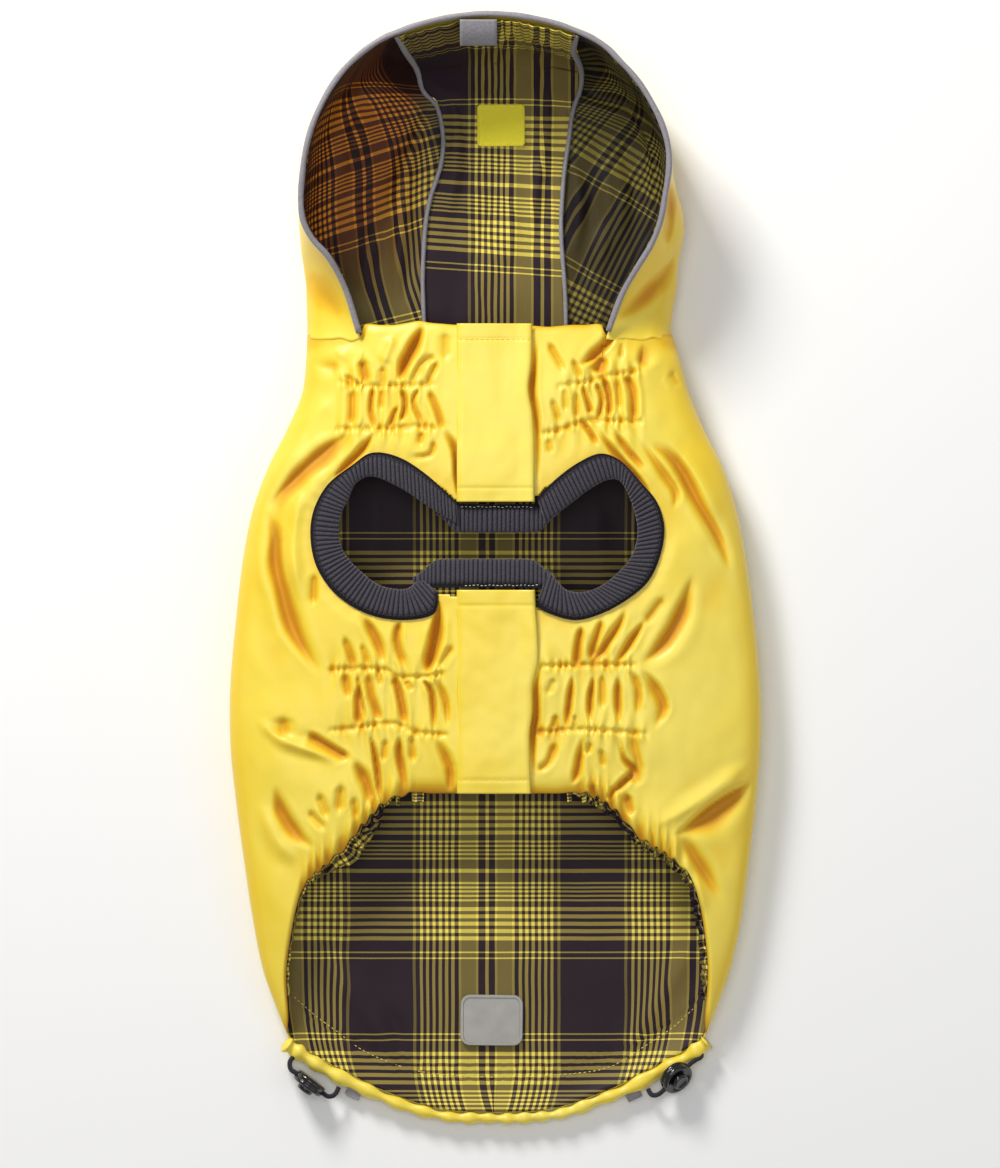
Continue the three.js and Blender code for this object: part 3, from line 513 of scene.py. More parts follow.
def declareSheet(piece, cut, rests):
    wide, long = (round(size * 1000) for size in cut["flat"])
    print(piece.name, "cut", wide, "x", long, "mm,", round(cut["area"] * 10000), "cm2")


def finish(piece, slotName, *replaced):
    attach(piece, "root")
    if replaced:
        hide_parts(*replaced)
    return piece


def tubeAlong(name, path, radiusAt, material, sides):
    # a closed round tube along points, with its own radius at each step
    points, faces = [], []
    side = None
    count = len(path)
    for i, p in enumerate(path):
        ahead = (path[min(i + 1, count - 1)] - path[max(i - 1, 0)]).normalized()
        if side is None:
            side = ahead.cross(Vector((0, 0, 1))).normalized()
        side = (side - ahead * side.dot(ahead)).normalized()
        up = side.cross(ahead).normalized()
        for s in range(sides):
            turn = 2 * math.pi * s / sides
            r = radiusAt(i, turn)
            q = p + side * (math.cos(turn) * r) + up * (math.sin(turn) * r)
            points.append(toRow(q.x, q.y, max(q.z, 0.0)))
    for i in range(count - 1):
        for s in range(sides):
            n = (s + 1) % sides
            faces.append((i * sides + s, i * sides + n, (i + 1) * sides + n, (i + 1) * sides + s))
    faces.append(tuple(range(sides))[::-1])
    faces.append(tuple((count - 1) * sides + s for s in range(sides)))
    piece = linkMesh(name, points, faces, material)
    recalc(piece)
    return piece


def recalc(piece):
    work = bmesh.new()
    work.from_mesh(piece.data)
    bmesh.ops.recalc_face_normals(work, faces=work.faces)
    work.to_mesh(piece.data)
    work.free()


def smoothPath(points, steps):
    path = []
    count = len(points)
    for i in range(count - 1):
        near = [points[clamp(k, 0, count - 1)] for k in (i - 1, i, i + 1, i + 2)]
        for s in range(steps):
            t = s / steps
            path.append(Vector([spline(*[p[axis] for p in near], t) for axis in range(3)]))
    path.append(Vector(points[-1]))
    return path


def resample(points, count):
    lengths = [0.0]
    for a, b in zip(points, points[1:]):
        lengths.append(lengths[-1] + (b - a).length)
    out, k = [], 1
    for n in range(count):
        target = lengths[-1] * n / (count - 1)
        while k < len(points) - 1 and lengths[k] < target:
            k += 1
        share = (target - lengths[k - 1]) / max(lengths[k] - lengths[k - 1], 1e-6)
        out.append(points[k - 1].lerp(points[k], clamp(share)))
    return out


# Body: sizes shared by all its panels.

bodySet = {
    "seamShare": 0.42, "power": 2.6, "corner": 24.0, "wall": 0.55, "gap": 1.0,
    "neck": 118.0,
}
bodyStations = tableOf("y left right high", [
    (124, 96, 89, 35), (104, 97, 95, 37), (89, 99, 99, 38), (70, 107, 107, 39), (52, 116, 116, 40),
    (30, 124, 123, 40), (5, 129, 128, 40), (-25, 132.5, 132, 39), (-60, 135.5, 135.2, 38),
    (-90, 135.5, 135.5, 37), (-120, 132.5, 133, 35), (-150, 128.5, 129.5, 33), (-180, 124, 125.5, 30),
    (-205, 119, 120, 27), (-225, 112, 113, 24), (-240, 106, 107, 22), (-285, 90, 90, 18),
])
bodyInside = Vector((0, -40, 16))


def bodyReach(side, y):
    return readAt(bodyStations, "y", "left" if side < 0 else "right", y)


def bodyHigh(y):
    return readAt(bodyStations, "y", "high", y)


def bellyHigh(x, y):
    share = min(abs(x) / bodyReach(x, y), 1)
    high = bodyHigh(y)
    seam = high * bodySet["seamShare"]
    return seam + (high - seam) * (1 - share ** bodySet["power"]) ** (1 / bodySet["power"])


# Creases and pleats, each along its own line. high is its height (a trough where negative), wide
# its half width, left and right the share of that width on each side of its line.
bellyCreases = tableOf("high wide path left right", [
    (-7.5, 2.9, [(-36.6, 124), (-41, 114.2), (-46.3, 103.6), (-49.8, 94)]),
    (-2.2, 2.2, [(-30.5, 108), (-38.4, 103.6), (-42.8, 93.5)]),
    (-2.6, 1.8, [(-29.6, 105.4), (-34.9, 93.5)]), (-3.2, 2.8, [(-68.2, 106.3), (-65.6, 94.8)]),
    (-2.5, 2.0, [(-57.7, 102.7), (-56.4, 93.5)]), (-1.5, 4.5, [(-97, 105), (-79, 102)]),
    (-1.8, 1.3, [(-77, 98.4), (-68.2, 93.1)]), (1.6, 4.0, [(-70, 117.7), (-80.5, 107.1)]),
    (-1.6, 3.2, [(-25.5, 120), (-25.5, 106)]), (1.8, 3.6, [(-52, 118), (-57, 104)]),
    (-2.6, 2.5, [(-72.6, 91.3), (-73, 72.9)]), (-4.2, 1.5, [(-62.1, 93), (-63.4, 80.8), (-61.2, 71.1)]),
    (-1.9, 1.3, [(-57.7, 91.3), (-58.1, 80.8)]), (-3.4, 1.4, [(-48, 91.3), (-45.8, 83.4), (-48.5, 74.6)]),
    (-2.6, 1.3, [(-49.8, 82.5), (-54.2, 72)]), (-3.0, 1.4, [(-39.2, 91.3), (-41.9, 84.3), (-37.5, 73.8)]),
    (-3.2, 1.8, [(-34, 90.4), (-29.6, 79.9), (-27, 71.1)]),
    (-4.6, 2.4, [(-27, 71.1), (-19.9, 59.7), (-18.6, 45.7), (-19, 35.1)]),
    (-5.0, 2.0, [(-61.2, 70.3), (-66.5, 61.5), (-75.2, 52.7), (-87.5, 41.3)], 1, 1.2),
    (-5.0, 6.0, [(-73, 69), (-84.9, 61.5), (-96.3, 51.8), (-105.1, 43), (-116.5, 30.7)], 1.3, 0.6),
    (-4.8, 5.0, [(-118, 29), (-112.5, 17.6), (-112.1, 3.5), (-108.6, -13),
                 (-103.3, -30.6), (-96.3, -42.9), (-89.3, -53.4)], 1, 0.8),
    (2.6, 6.0, [(-94, 70), (-108, 56), (-121, 34), (-121.5, 4), (-117, -16)]),
    (2.2, 6.0, [(-98, 40), (-102, 26), (-102.5, 3.5), (-98, -18)]),
    (-1.9, 1.6, [(-37.5, 69.4), (-38.4, 63.2)]), (-1.9, 1.6, [(-31.3, 65), (-33.2, 58), (-43.6, 56.2)]),
    (1.8, 8.0, [(-81.4, 86), (-100.7, 73.8), (-112.1, 61.5)]),
    (-4.6, 1.9, [(20.3, 121), (19.9, 105.4), (18.6, 91.3), (20.3, 79), (21.4, 65), (21.6, 40)]),
    (-2.1, 1.8, [(27, 115), (35, 100.1)]),
    (-5.2, 2.8, [(42, 102.7), (49.9, 107.5), (57.8, 115), (62.2, 123.8)], 1.1, 0.55),
    (-5.0, 3.0, [(54.3, 108), (51.6, 99.2)]), (-2.6, 1.4, [(39.3, 106.3), (43.7, 96.6)]),
    (-1.6, 1.5, [(64.8, 115), (63.9, 107.1)]), (-3.6, 3.4, [(77.1, 122.9), (73.6, 101.9)], 1.5, 0.7),
    (-2.8, 2.0, [(78.9, 125), (87.6, 118)]), (-3.2, 3.0, [(90, 101), (94.7, 93)]),
    (-2.3, 1.3, [(35, 92.2), (35.8, 79.9)]), (-2.1, 1.4, [(28.8, 86.1), (32.3, 74.7)]),
    (-4.2, 1.3, [(43.7, 94), (47.2, 83.4), (48.1, 79)]), (-1.9, 1.3, [(41.1, 89.6), (41.1, 76.4)]),
    (-3.4, 1.5, [(50.8, 94.8), (54.3, 86.1), (52.1, 75.5)]),
    (-4.6, 1.6, [(55.1, 96.6), (57.8, 87.8), (57.8, 77.3)]),
    (-3.6, 2.2, [(65.7, 98.4), (70.1, 89.6), (70.1, 74.7)]), (-1.9, 1.6, [(62.2, 96.6), (63, 80.8)]),
    (-4.2, 1.5, [(44.6, 74.7), (51.6, 63.2)]),
    (-5.2, 2.0, [(51.6, 71.1), (60.4, 58.8), (72.7, 44.8), (80.6, 36)]),
    (-3.8, 1.8, [(58.7, 72), (67.4, 59.7), (76.2, 50.1)]),
    (-2.2, 2.6, [(72.7, 66.7), (85, 49.2), (92, 38.7), (90.3, 29.9)]),
    (-4.6, 4.8, [(78.9, 64.1), (92, 53.6), (102.6, 35.1), (114, 14.9), (120, -2)], 1.3, 0.7),
    (2.2, 5.0, [(88, 66), (100, 50), (111, 28), (121, 8)]), (-1.6, 2.0, [(27, 65.9), (27.9, 58.8)]),
    (-1.9, 2.4, [(-91.9, -2.5), (-92.8, -18.3)]),
    (-3.8, 2.6, [(-68.2, -22.7), (-61.2, -35), (-55.9, -49)]),
    (-3.4, 2.0, [(-48.9, -27.1), (-50.2, -36.7), (-46.3, -49.9)]),
    (-2.1, 1.8, [(-77, -35), (-71.7, -49.9)]), (-1.7, 1.3, [(-68.2, -38.5), (-64.7, -49)]),
    (-8.0, 3.0, [(-28.7, -13), (-30, -32.3), (-33.1, -46.4), (-34.9, -53)]),
    (-2.1, 2.2, [(-21.7, -39.3), (-29.6, -50.8)]), (-2.3, 2.0, [(-77, -53.4), (-74.4, -65.7)]),
    (-4.2, 2.0, [(-70, -60.4), (-70, -79.7)]), (-2.6, 1.0, [(-70.8, -52.5), (-66.5, -76.2)]),
    (-3.2, 2.0, [(-64.7, -53.4), (-63, -65.7), (-57.7, -78)]),
    (-1.6, 1.2, [(-59.4, -50.8), (-58.1, -59.5)]),
    (-4.2, 2.0, [(-51.5, -55.1), (-48.9, -63.9), (-45.4, -79.7)]),
    (-2.1, 1.6, [(-45.4, -56.9), (-42.8, -62.2)]),
    (-4.8, 1.5, [(-37.5, -56), (-32.2, -63.9), (-31.3, -83.2)]),
    (-2.5, 1.6, [(-30.5, -55.1), (-25.2, -67.4), (-24.3, -81.5)]),
    (-4.8, 1.5, [(-64.7, -82.4), (-61.2, -95.5), (-59, -113.1), (-58.6, -121.9)]),
    (-4.6, 1.9, [(-48.9, -85), (-48.9, -95.5), (-45.4, -112)]),
    (-2.5, 2.0, [(-42.8, -85), (-41.9, -98.2)]),
    (-3.6, 2.6, [(-30.5, -85.9), (-23.4, -100.8), (-23.4, -114)]),
    (-1.9, 1.8, [(-55.9, -86.8), (-57.2, -98.2)]),
    (-4.2, 3.0, [(-72.6, -97.3), (-65.6, -109.6), (-62.1, -123.6)]),
    (-3.8, 2.4, [(-74.4, -96.4), (-84.9, -90.3), (-95.4, -83.7)], 1.6, 0.7),
    (2.6, 3.2, [(-122.7, -76.2), (-109.5, -86.8), (-96.3, -92), (-75.2, -99.1)]),
    (-2.6, 5.0, [(-108, -76), (-108.6, -86)]), (-2.8, 2.5, [(-78.8, -110.5), (-79.6, -124)]),
    (-2.2, 1.6, [(-72.6, -117), (-70.8, -127)]), (-2.5, 2.2, [(-90.2, -114.9), (-85.8, -127)]),
    (-2.1, 2.0, [(-95.4, -123.6), (-87, -133)]),
    (-3.9, 3.2, [(-113, -111.3), (-109.5, -122.8), (-102.5, -134.2), (-92, -143)]),
    (2.4, 5.0, [(-121, -118), (-112, -138), (-101, -150)]),
    (-4.4, 2.0, [(23.6, -46.4), (20.6, -58.7), (20.6, -72.7), (18.8, -85), (19.7, -113)]),
    (-3.6, 1.8, [(43.7, -29.7), (42, -39.3), (41.1, -49)]), (-3.4, 2.0, [(54.3, -25.3), (48.1, -46.4)]),
    (-3.8, 2.2, [(66.6, -20), (62.2, -29.7), (53.4, -42.9), (49, -49)]),
    (-4.0, 2.0, [(76.2, -26.2), (67.4, -39.3), (62.2, -48.1)]),
    (-1.8, 2.6, [(85.9, -14.8), (76.2, -27.9)]),
    (-4.6, 4.2, [(100.8, -2.5), (93.8, -23.5), (85, -38.5), (74.5, -49)], 1.3, 0.8),
    (-3.6, 3.4, [(74.5, -51.6), (81.5, -60.4), (85.9, -71), (80.6, -81.5)], 0.7, 1.3),
    (-2.5, 2.0, [(67.4, -51.6), (72.7, -60.4), (71.8, -76.2)]),
    (-4.4, 1.6, [(39.3, -53.4), (37.6, -67.4), (35.8, -83.2)]),
    (-4.6, 1.6, [(49.9, -54.3), (48.1, -67.4), (48.1, -80.6)]),
    (-2.1, 1.8, [(54.3, -53.4), (54.3, -71.8)]),
    (-4.2, 1.8, [(62.2, -54.3), (62.2, -65.7), (62.6, -80.6)]), (-1.5, 2.0, [(30, -56), (26.5, -64)]),
    (-1.9, 1.6, [(30.6, -74.5), (29.7, -81.5)]), (-1.9, 1.3, [(40.2, -74.5), (40.2, -81.5)]),
    (-3.8, 2.0, [(44.6, -84.1), (42, -100.8), (39.3, -110)]), (-2.1, 1.6, [(48.1, -88.5), (46.4, -94.7)]),
    (-4.4, 1.8, [(62.2, -84.1), (65.7, -97.3), (70.1, -103.4), (60.4, -113.1), (54.3, -120.1)]),
    (-2.2, 3.0, [(70.1, -85), (72.7, -100.8), (70.1, -110)]), (-1.9, 1.6, [(53.4, -92), (55.1, -100.8)]),
    (-2.1, 2.0, [(30.6, -88.5), (27, -98.2), (21.8, -102.6)]),
    (-1.8, 2.0, [(48.1, -109.6), (52.5, -119)]), (-2.8, 2.4, [(66.6, -114.9), (69.2, -126)]),
    (-5.6, 3.4, [(90.3, -137), (102.6, -128.6), (115.7, -119), (128.9, -111), (136, -105)], 0.7, 2.4),
    (2.4, 5.0, [(80, -132), (100, -121), (118, -108), (131, -98)]),
    (-2.8, 4.5, [(95, -136), (102, -148), (116, -169)]),
    (2.2, 5.0, [(89, -143), (98, -158), (108, -176)]),
])
# Rows of elastic stitching, which pull the cloth into small puckers.
elasticRows = [
    [(-79, 95), (-68, 93.1), (-50, 93.1), (-31, 93.6)],
    [(-81, 71.1), (-66, 71.1), (-50, 71.5), (-38, 72.4), (-30, 71.1)],
    [(32, 92.6), (45.5, 94.8), (58.7, 98.4), (73.6, 100.6)],
    [(23.5, 68.5), (32.3, 70.3), (46.4, 75.1), (58.7, 75.1), (74.5, 74.7)],
    [(-85, -51.6), (-70, -50.8), (-56, -51.6), (-49.8, -55.1), (-36.6, -55.1), (-27, -53.4)],
    [(-84, -82.4), (-70, -81), (-57.7, -78.9), (-48, -79.7), (-41, -83.2), (-25, -84.6)],
    [(22.6, -49.9), (45, -49), (70.9, -49)],
    [(20, -83.2), (45.5, -81.9), (76, -84.1)],
]
elasticSet = {
    "dip": 1.3, "wide": 1.3, "pucker": 0.8, "pitch": 4.1, "puckerWide": 3.0, "end": 7.0,
    "pleat": 0.62, "pleatPitch": 8.4, "pleatWide": 10.0, "span": 7.0,
}
# A crease is sharp at its line and swells beside it; short ones fade less towards their ends.
foldSet = {
    "longFade": 2.4, "longEnd": 0.05, "shortFade": 3.4, "shortEnd": 0.24, "short": 26.0,
    "reach": 3.2, "pinch": 1.35, "puff": 0.30, "puffAt": 1.9,
}


def prepareLines(creases):
    # a smooth line through each crease's points, and the box outside which it has no effect
    for crease in creases:
        points = [Vector((x, y, 0)) for x, y in crease["path"]]
        line = smoothPath(points, 3 if len(points) > 2 else 2)
        crease["line"] = [(p.x, p.y) for p in line]
        size = "short" if sum((b - a).length for a, b in zip(line, line[1:])) < foldSet["short"] else "long"
        crease["fade"], crease["end"] = foldSet[size + "Fade"], foldSet[size + "End"]
        reach = crease["wide"] * foldSet["reach"] * max(crease.get("left", 1), crease.get("right", 1))
        crease["low"] = (min(p.x for p in line) - reach, min(p.y for p in line) - reach)
        crease["top"] = (max(p.x for p in line) + reach, max(p.y for p in line) + reach)


def nearestOn(line, x, y):
    # distance squared, side and share of the way along, at the nearest point of a line
    best, signed, share = 1e9, 0.0, 0.0
    pieces = len(line) - 1
    for k in range(pieces):
        ax, ay = line[k]
        dx, dy = line[k + 1][0] - ax, line[k + 1][1] - ay
        t = clamp(((x - ax) * dx + (y - ay) * dy) / max(dx * dx + dy * dy, 1e-6))
        px, py = x - ax - dx * t, y - ay - dy * t
        away = px * px + py * py
        if away < best:
            best, signed, share = away, dx * py - dy * px, (k + t) / pieces
    return best, signed, share


def foldLift(crease, x, y):
    low, top = crease["low"], crease["top"]
    if x < low[0] or x > top[0] or y < low[1] or y > top[1]:
        return 0.0
    away, signed, share = nearestOn(crease["line"], x, y)
    taper = ease(min(share, 1 - share) * crease["fade"] + crease["end"])
    width = crease["wide"] * crease.get("left" if signed > 0 else "right", 1) * (0.5 + 0.5 * taper)
    ratio = away / (width * width)
    limit = foldSet["reach"] ** 2
    if ratio >= limit:
        return 0.0
    root = math.sqrt(ratio)
    valley = math.exp(foldSet["pinch"] * (0.25 - math.sqrt(ratio + 0.0625)))
    puff = foldSet["puff"] * math.exp(-(root - foldSet["puffAt"]) ** 2)
    return crease["high"] * taper * (1 - ratio / limit) ** 2 * (valley - puff)


prepareLines(bellyCreases)
rowLines = [{"path": row, "wide": elasticSet["span"], "high": 0} for row in elasticRows]
prepareLines(rowLines)


def rowLift(x, y):
    lift = 0.0
    for number, row in enumerate(rowLines):
        low, top = row["low"], row["top"]
        if x < low[0] or x > top[0] or y < low[1] or y > top[1]:
            continue
        away = nearestOn(row["line"], x, y)[0]
        first = min(p[0] for p in row["line"]) - 4
        last = max(p[0] for p in row["line"]) + 4
        inSpan = ease((x - first) / elasticSet["end"]) * ease((last - x) / elasticSet["end"])
        lift -= elasticSet["dip"] * inSpan * math.exp(-away / elasticSet["wide"] ** 2)
        wave = math.sin(x * 6.283 / elasticSet["pitch"] + 1.6 * math.sin(x * 0.37 + number) + number * 1.9)
        size = elasticSet["pucker"] * (0.75 + 0.5 * math.sin(x * 0.23 + number * 2.1))
        lift += size * inSpan * wave * math.exp(-away / elasticSet["puckerWide"] ** 2)
        pleat = math.sin(
            x * 6.283 / elasticSet["pleatPitch"] + 1.3 * math.sin(y / 8 + number) + 2 * math.sin(x * 0.11))
        lift += elasticSet["pleat"] * inSpan * pleat * math.exp(-away / elasticSet["pleatWide"] ** 2)
    return lift


def creaseLift(x, y):
    lift = rowLift(x, y)
    for crease in bellyCreases:
        lift += foldLift(crease, x, y)
    broad = noise.noise(Vector((x / 25, y / 33, 3.1)))
    fine = noise.noise(Vector((x / 9, y / 12, 8.7)))
    lift += 1.5 * broad + 0.32 * fine
    return lift


# Edges of each belly panel: reach from the centre line, or share of the way from the last reach
# to the side seam.
leftColumns = tableOf("reach top end", [
    (10, 124, -114.5), (20, 124, -114.5), (27, 124.5, -114.5), (33, 125, -114.5), (39, 126, -114),
    (45, 125, -114.5), (52, 124, -117), (59, 124, -121), (67, 124, -130), (68.4, 119.4, -131),
]) + tableOf("share top end", [
    (0.12, 119.4, -141), (0.3, 119.4, -151), (0.52, 119.4, -164), (0.72, 119.4, -198),
    (0.87, 119.4, -226), (0.96, 119.4, -235), (1, 119.4, -238),
])
rightColumns = tableOf("reach top end", [
    (10, 124, -114.5), (20, 123.5, -114.5), (27, 123, -114.5), (33, 123.5, -114.5), (39, 124, -114),
    (46, 124, -114.5), (54.4, 124, -118), (55.8, 119.4, -119), (64, 119.4, -126), (71, 119.4, -135),
]) + tableOf("share top end", [
    (0.14, 119.4, -141), (0.3, 119.4, -147), (0.52, 119.4, -160), (0.72, 119.4, -196),
    (0.87, 119.4, -226), (0.96, 119.4, -235), (1, 119.4, -238),
])
bellySet = {
    "columns": 152, "rows": 250, "stretch": -40.0, "full": 134.0, "inset": 3.0,
    "hemPucker": 1.7, "hemPitch": 6.2, "hemFrom": 38, "hemTo": 104, "hemReach": 40,
    "fullness": 1.06, "levelRows": 140, "fullShadeAt": 3.0, "shadeFrom": 0.35,
    "tailFrom": -195, "tailLean": 0.7, "edgeFade": 14, "legFade": 14, "legDip": -1.0,
}
# Boxes outside which a point is clear of the leg opening, and of the cloth it holds down.
legBox = {"left": -96, "right": 88, "low": -28, "top": 61}
legReach = {"left": -108, "right": 100, "low": -40, "top": 74}

leftRib = tableOf("outX outY inX inY", [
    (-19.6, 33.4, -18.6, 22.2), (-34.4, 47.2, -33.4, 30.9), (-48.7, 56.4, -47.7, 40.5),
    (-62.5, 58.9, -62.0, 46.7), (-73.2, 52.3, -70.6, 43.6), (-85.4, 42.6, -74.7, 35.4),
    (-92.6, 29.3, -78.8, 26.3), (-94.1, 15.0, -79.3, 15.0), (-90.5, -0.3, -76.2, 6.9),
    (-80.3, -14.0, -68.6, -1.3), (-65.0, -23.2, -58.9, -8.4), (-47.7, -26.3, -47.7, -10.5),
    (-31.4, -23.2, -42.1, -8.4), (-29.3, -12.5, -38.5, -3.3),
])
rightRib = tableOf("outX outY inX inY", [
    (21.2, 36.0, 25.2, 22.7), (30.9, 45.6, 37.5, 32.4), (42.1, 53.8, 48.2, 40.5),
    (53.3, 58.4, 57.4, 45.1), (63.5, 54.8, 63.5, 44.1), (74.2, 43.6, 68.1, 36.0),
    (82.4, 33.4, 71.1, 27.3), (85.9, 20.7, 72.2, 17.1), (83.9, 6.9, 69.1, 6.4), (77.8, -6.4, 62.0, -2.3),
    (66.6, -16.1, 53.3, -8.9), (53.3, -23.2, 44.6, -12.0), (40.5, -26.3, 36.5, -11.0),
    (27.8, -23.2, 31.4, -6.4), (20.7, -19.1, 26.8, -0.3),
])


def legEdge(table, inset):
    # tucked under the band along the lobes, and just outside it where the bridges begin
    edge = []
    for i in range(61):
        share = i / 60
        row = rowAt(table, share)
        outer, inner = Vector((row["outX"], row["outY"])), Vector((row["inX"], row["inY"]))
        depth = lerp(-0.6, inset, ease((share - 0.03) / 0.06) * ease((0.97 - share) / 0.06))
        edge.append(outer + (inner - outer).normalized() * depth)
    return edge


legOutline = legEdge(leftRib, bellySet["inset"])[::-1] + legEdge(rightRib, bellySet["inset"])


def inBox(box, x, y):
    return box["left"] < x < box["right"] and box["low"] < y < box["top"]


def insideLeg(x, y):
    if not inBox(legBox, x, y):
        return False
    hit = False
    j = len(legOutline) - 1
    for i in range(len(legOutline)):
        a, b = legOutline[i], legOutline[j]
        if (a.y > y) != (b.y > y) and x < (b.x - a.x) * (y - a.y) / (b.y - a.y) + a.x:
            hit = not hit
        j = i
    return hit


legMarks = [(p.x, p.y) for p in legOutline[::2]]


def legAway(x, y):
    if not inBox(legReach, x, y):
        return 99.0
    return math.sqrt(min((x - p) ** 2 + (y - q) ** 2 for p, q in legMarks))


def tailLean(y):
    return bellySet["tailLean"] * max((bellySet["tailFrom"] - y) / 40, 0)


def bellySurface(x, y, side):
    # creases fade towards the side seam, the leg opening and the neck corner
    limit = bodyReach(side, y)
    edge = clamp((limit - abs(x)) / bellySet["edgeFade"])
    lift = ease(edge) * creaseLift(x, y)
    near = legAway(x, y)
    if near < bellySet["legFade"]:
        lift = min(lift, lerp(bellySet["legDip"], lift, ease((near - 2) / 9)))
    join = ease((y - 104) / 12) * ease((abs(x) - 60) / 10)
    return bellyHigh(x, y) + lift * (1 - join) + bodySet["gap"] * (1 - join) + tailLean(y)


def spreadColumns(table):
    # every column gets the distance at which it stands on the widest part of the body
    last = max(column["reach"] for column in table if "reach" in column)
    spread = []
    for column in table:
        place = column["reach"] if "reach" in column else last + column["share"] * (bellySet["full"] - last)
        spread.append({"place": place, "top": column["top"], "end": column["end"]})
    return spread, last


def bellyGrid(side, table):
    grid = []
    columns, rows = bellySet["columns"], bellySet["rows"]
    spread, last = spreadColumns(table)
    stretch, full = bellySet["stretch"], bellySet["full"]
    spots = []
    for j in range(columns):
        t = j / (columns - 1)
        place = lerp(10, full, t if t < 0.85 else 0.85 + 0.15 * math.sin((t - 0.85) / 0.15 * math.pi / 2))
        spots.append((place, readAt(spread, "place", "top", place), readAt(spread, "place", "end", place)))
    for i in range(rows):
        down = i / (rows - 1)
        line = []
        for place, top, end in spots:
            y = lerp(top, stretch, down / 0.6) if down < 0.6 else lerp(stretch, end, (down - 0.6) / 0.4)
            limit = bodyReach(side, y)
            reach = place if place < last else last + (place - last) / (full - last) * (limit - last)
            x = side * min(reach, limit)
            z = bellySurface(x, y, side)
            fromEnd = y - end
            if bellySet["hemFrom"] < reach < bellySet["hemTo"] and fromEnd < bellySet["hemReach"]:
                wave = math.sin(place * 6.283 / bellySet["hemPitch"] + 1.8 * math.sin(place * 0.21 + side))
                inSpan = ease((reach - bellySet["hemFrom"]) / 10) * ease((bellySet["hemTo"] - reach) / 14)
                z += bellySet["hemPucker"] * wave * math.exp(-(fromEnd / 10) ** 2) * inSpan
                y += 1.2 * wave * math.exp(-(fromEnd / 4) ** 2) * inSpan
            if fromEnd < 9:
                z -= 2.4 * (1 - fromEnd / 9) ** 2
            if y > 117.6 and reach > 66:
                z -= 0.9 * ease((y - 117.6) / 1.2)
            if top - y < 5 and reach < 66:
                z -= 1.2 * (1 - (top - y) / 5) ** 2
            line.append(Vector((x, y, z)))
        grid.append(line)
    return grid


def makeBelly(name, side, table, node):
    grid = bellyGrid(side, table)

    def keep(i, j):
        p = (grid[i][j] + grid[i + 1][j + 1]) / 2
        return not insideLeg(p.x, p.y)

    # painted shade: the further a point lies below the smooth belly, in the troughs of creases and rows, the
    # darker it is painted
    paintedShade = []
    for line in grid:
        level = [bellyHigh(p.x, p.y) + bodySet["gap"] + tailLean(p.y) - bellySet["shadeFrom"] for p in line]
        paintedShade.append([clamp((high - p.z) / bellySet["fullShadeAt"]) for high, p in zip(level, line)])
    piece = clothWall(name, grid, bodyInside, 0, bodySet["wall"], looks["shell"], None, keep, paintedShade)
    finish(piece, "shell_cloth", node)
    cut = cutOf(grid, bellySet["fullness"], keep, bellySet["levelRows"])
    declareSheet(piece, cut, ["back_shell"])
    return grid


leftBelly = makeBelly("bellyLeft", -1, leftColumns, "belly_left")
rightBelly = makeBelly("bellyRight", 1, rightColumns, "belly_right")
print("belly panels ready")

# Plackets.

placketSet = {
    "half": 19.3, "lift": 0.9, "wall": 0.8, "columns": 44, "rows": 120,
    "upper": {"from": 124.6, "to": 33.9}, "lower": {"from": -10.9, "to": -114.5},
}
placketEdge = tableOf("y x", [
    (125, 18.3), (105, 17.8), (91, 16.3), (79, 18.3), (65, 19.2), (38, 19.4), (-11, 19.6), (-46, 21.4),
    (-59, 18.6), (-73, 18.3), (-85, 16.8), (-115, 17.6),
])


def makePlacket(name, span, node):
    grid = []
    for i in range(placketSet["rows"]):
        y = lerp(span["from"], span["to"], i / (placketSet["rows"] - 1))
        line = []
        for j in range(placketSet["columns"]):
            share = -1 + 2 * j / (placketSet["columns"] - 1)
            right = readAt(placketEdge, "y", "x", y)
            x = share * (right if share > 0 else placketSet["half"])
            z = bellyHigh(x, y) + bodySet["gap"] + placketSet["lift"]
            broad = noise.noise(Vector((x / 22, y / 34, 1.7)))
            fine = noise.noise(Vector((x / 8, y / 8, 5)))
            z += 1.4 * broad + 0.25 * fine
            z += 0.8 * ease((share - 0.55) / 0.4) - 1.0 * ease((share - 0.93) / 0.07) * 0.9
            z -= 1.4 * ease((-share - 0.88) / 0.12)
            for seam in (span["from"] - 8, span["to"] + 7):
                z -= 0.35 * math.exp(-((y - seam) / 0.8) ** 2)
            line.append(Vector((x, y, z)))
        grid.append(line)
    piece = clothWall(name, grid, bodyInside, -placketSet["wall"], 0, looks["shell"])
    finish(piece, "shell_cloth", node)
    declareSheet(piece, cutOf(grid), ["belly_left", "belly_right"])
    return grid


upperPlacket = makePlacket("placketUpper", placketSet["upper"], "placket_upper")
lowerPlacket = makePlacket("placketLower", placketSet["lower"], "placket_lower")

# Back panel and its lining.

tailHem = tableOf("x y", [
    (0, -279), (35, -277), (66, -267), (84, -257), (97, -248), (107, -238),
])
backSet = {
    "rows": 150, "flat": 38, "roll": 20, "wall": 0.6, "lift": 6.0, "liftReach": 22.0,
    "liningGap": 0.6, "liningWall": 0.5,
}


def backPlace(side, y, share):
    reach = bodyReach(side, y)
    seam = bodyHigh(y) * bodySet["seamShare"]
    flat = reach - bodySet["corner"]
    if share <= 1:
        return side * flat * share, 0.0, 1.0
    angle = (share - 1) * math.pi / 2
    return side * (flat + bodySet["corner"] * math.sin(angle)), seam * (1 - math.cos(angle)), math.cos(angle)


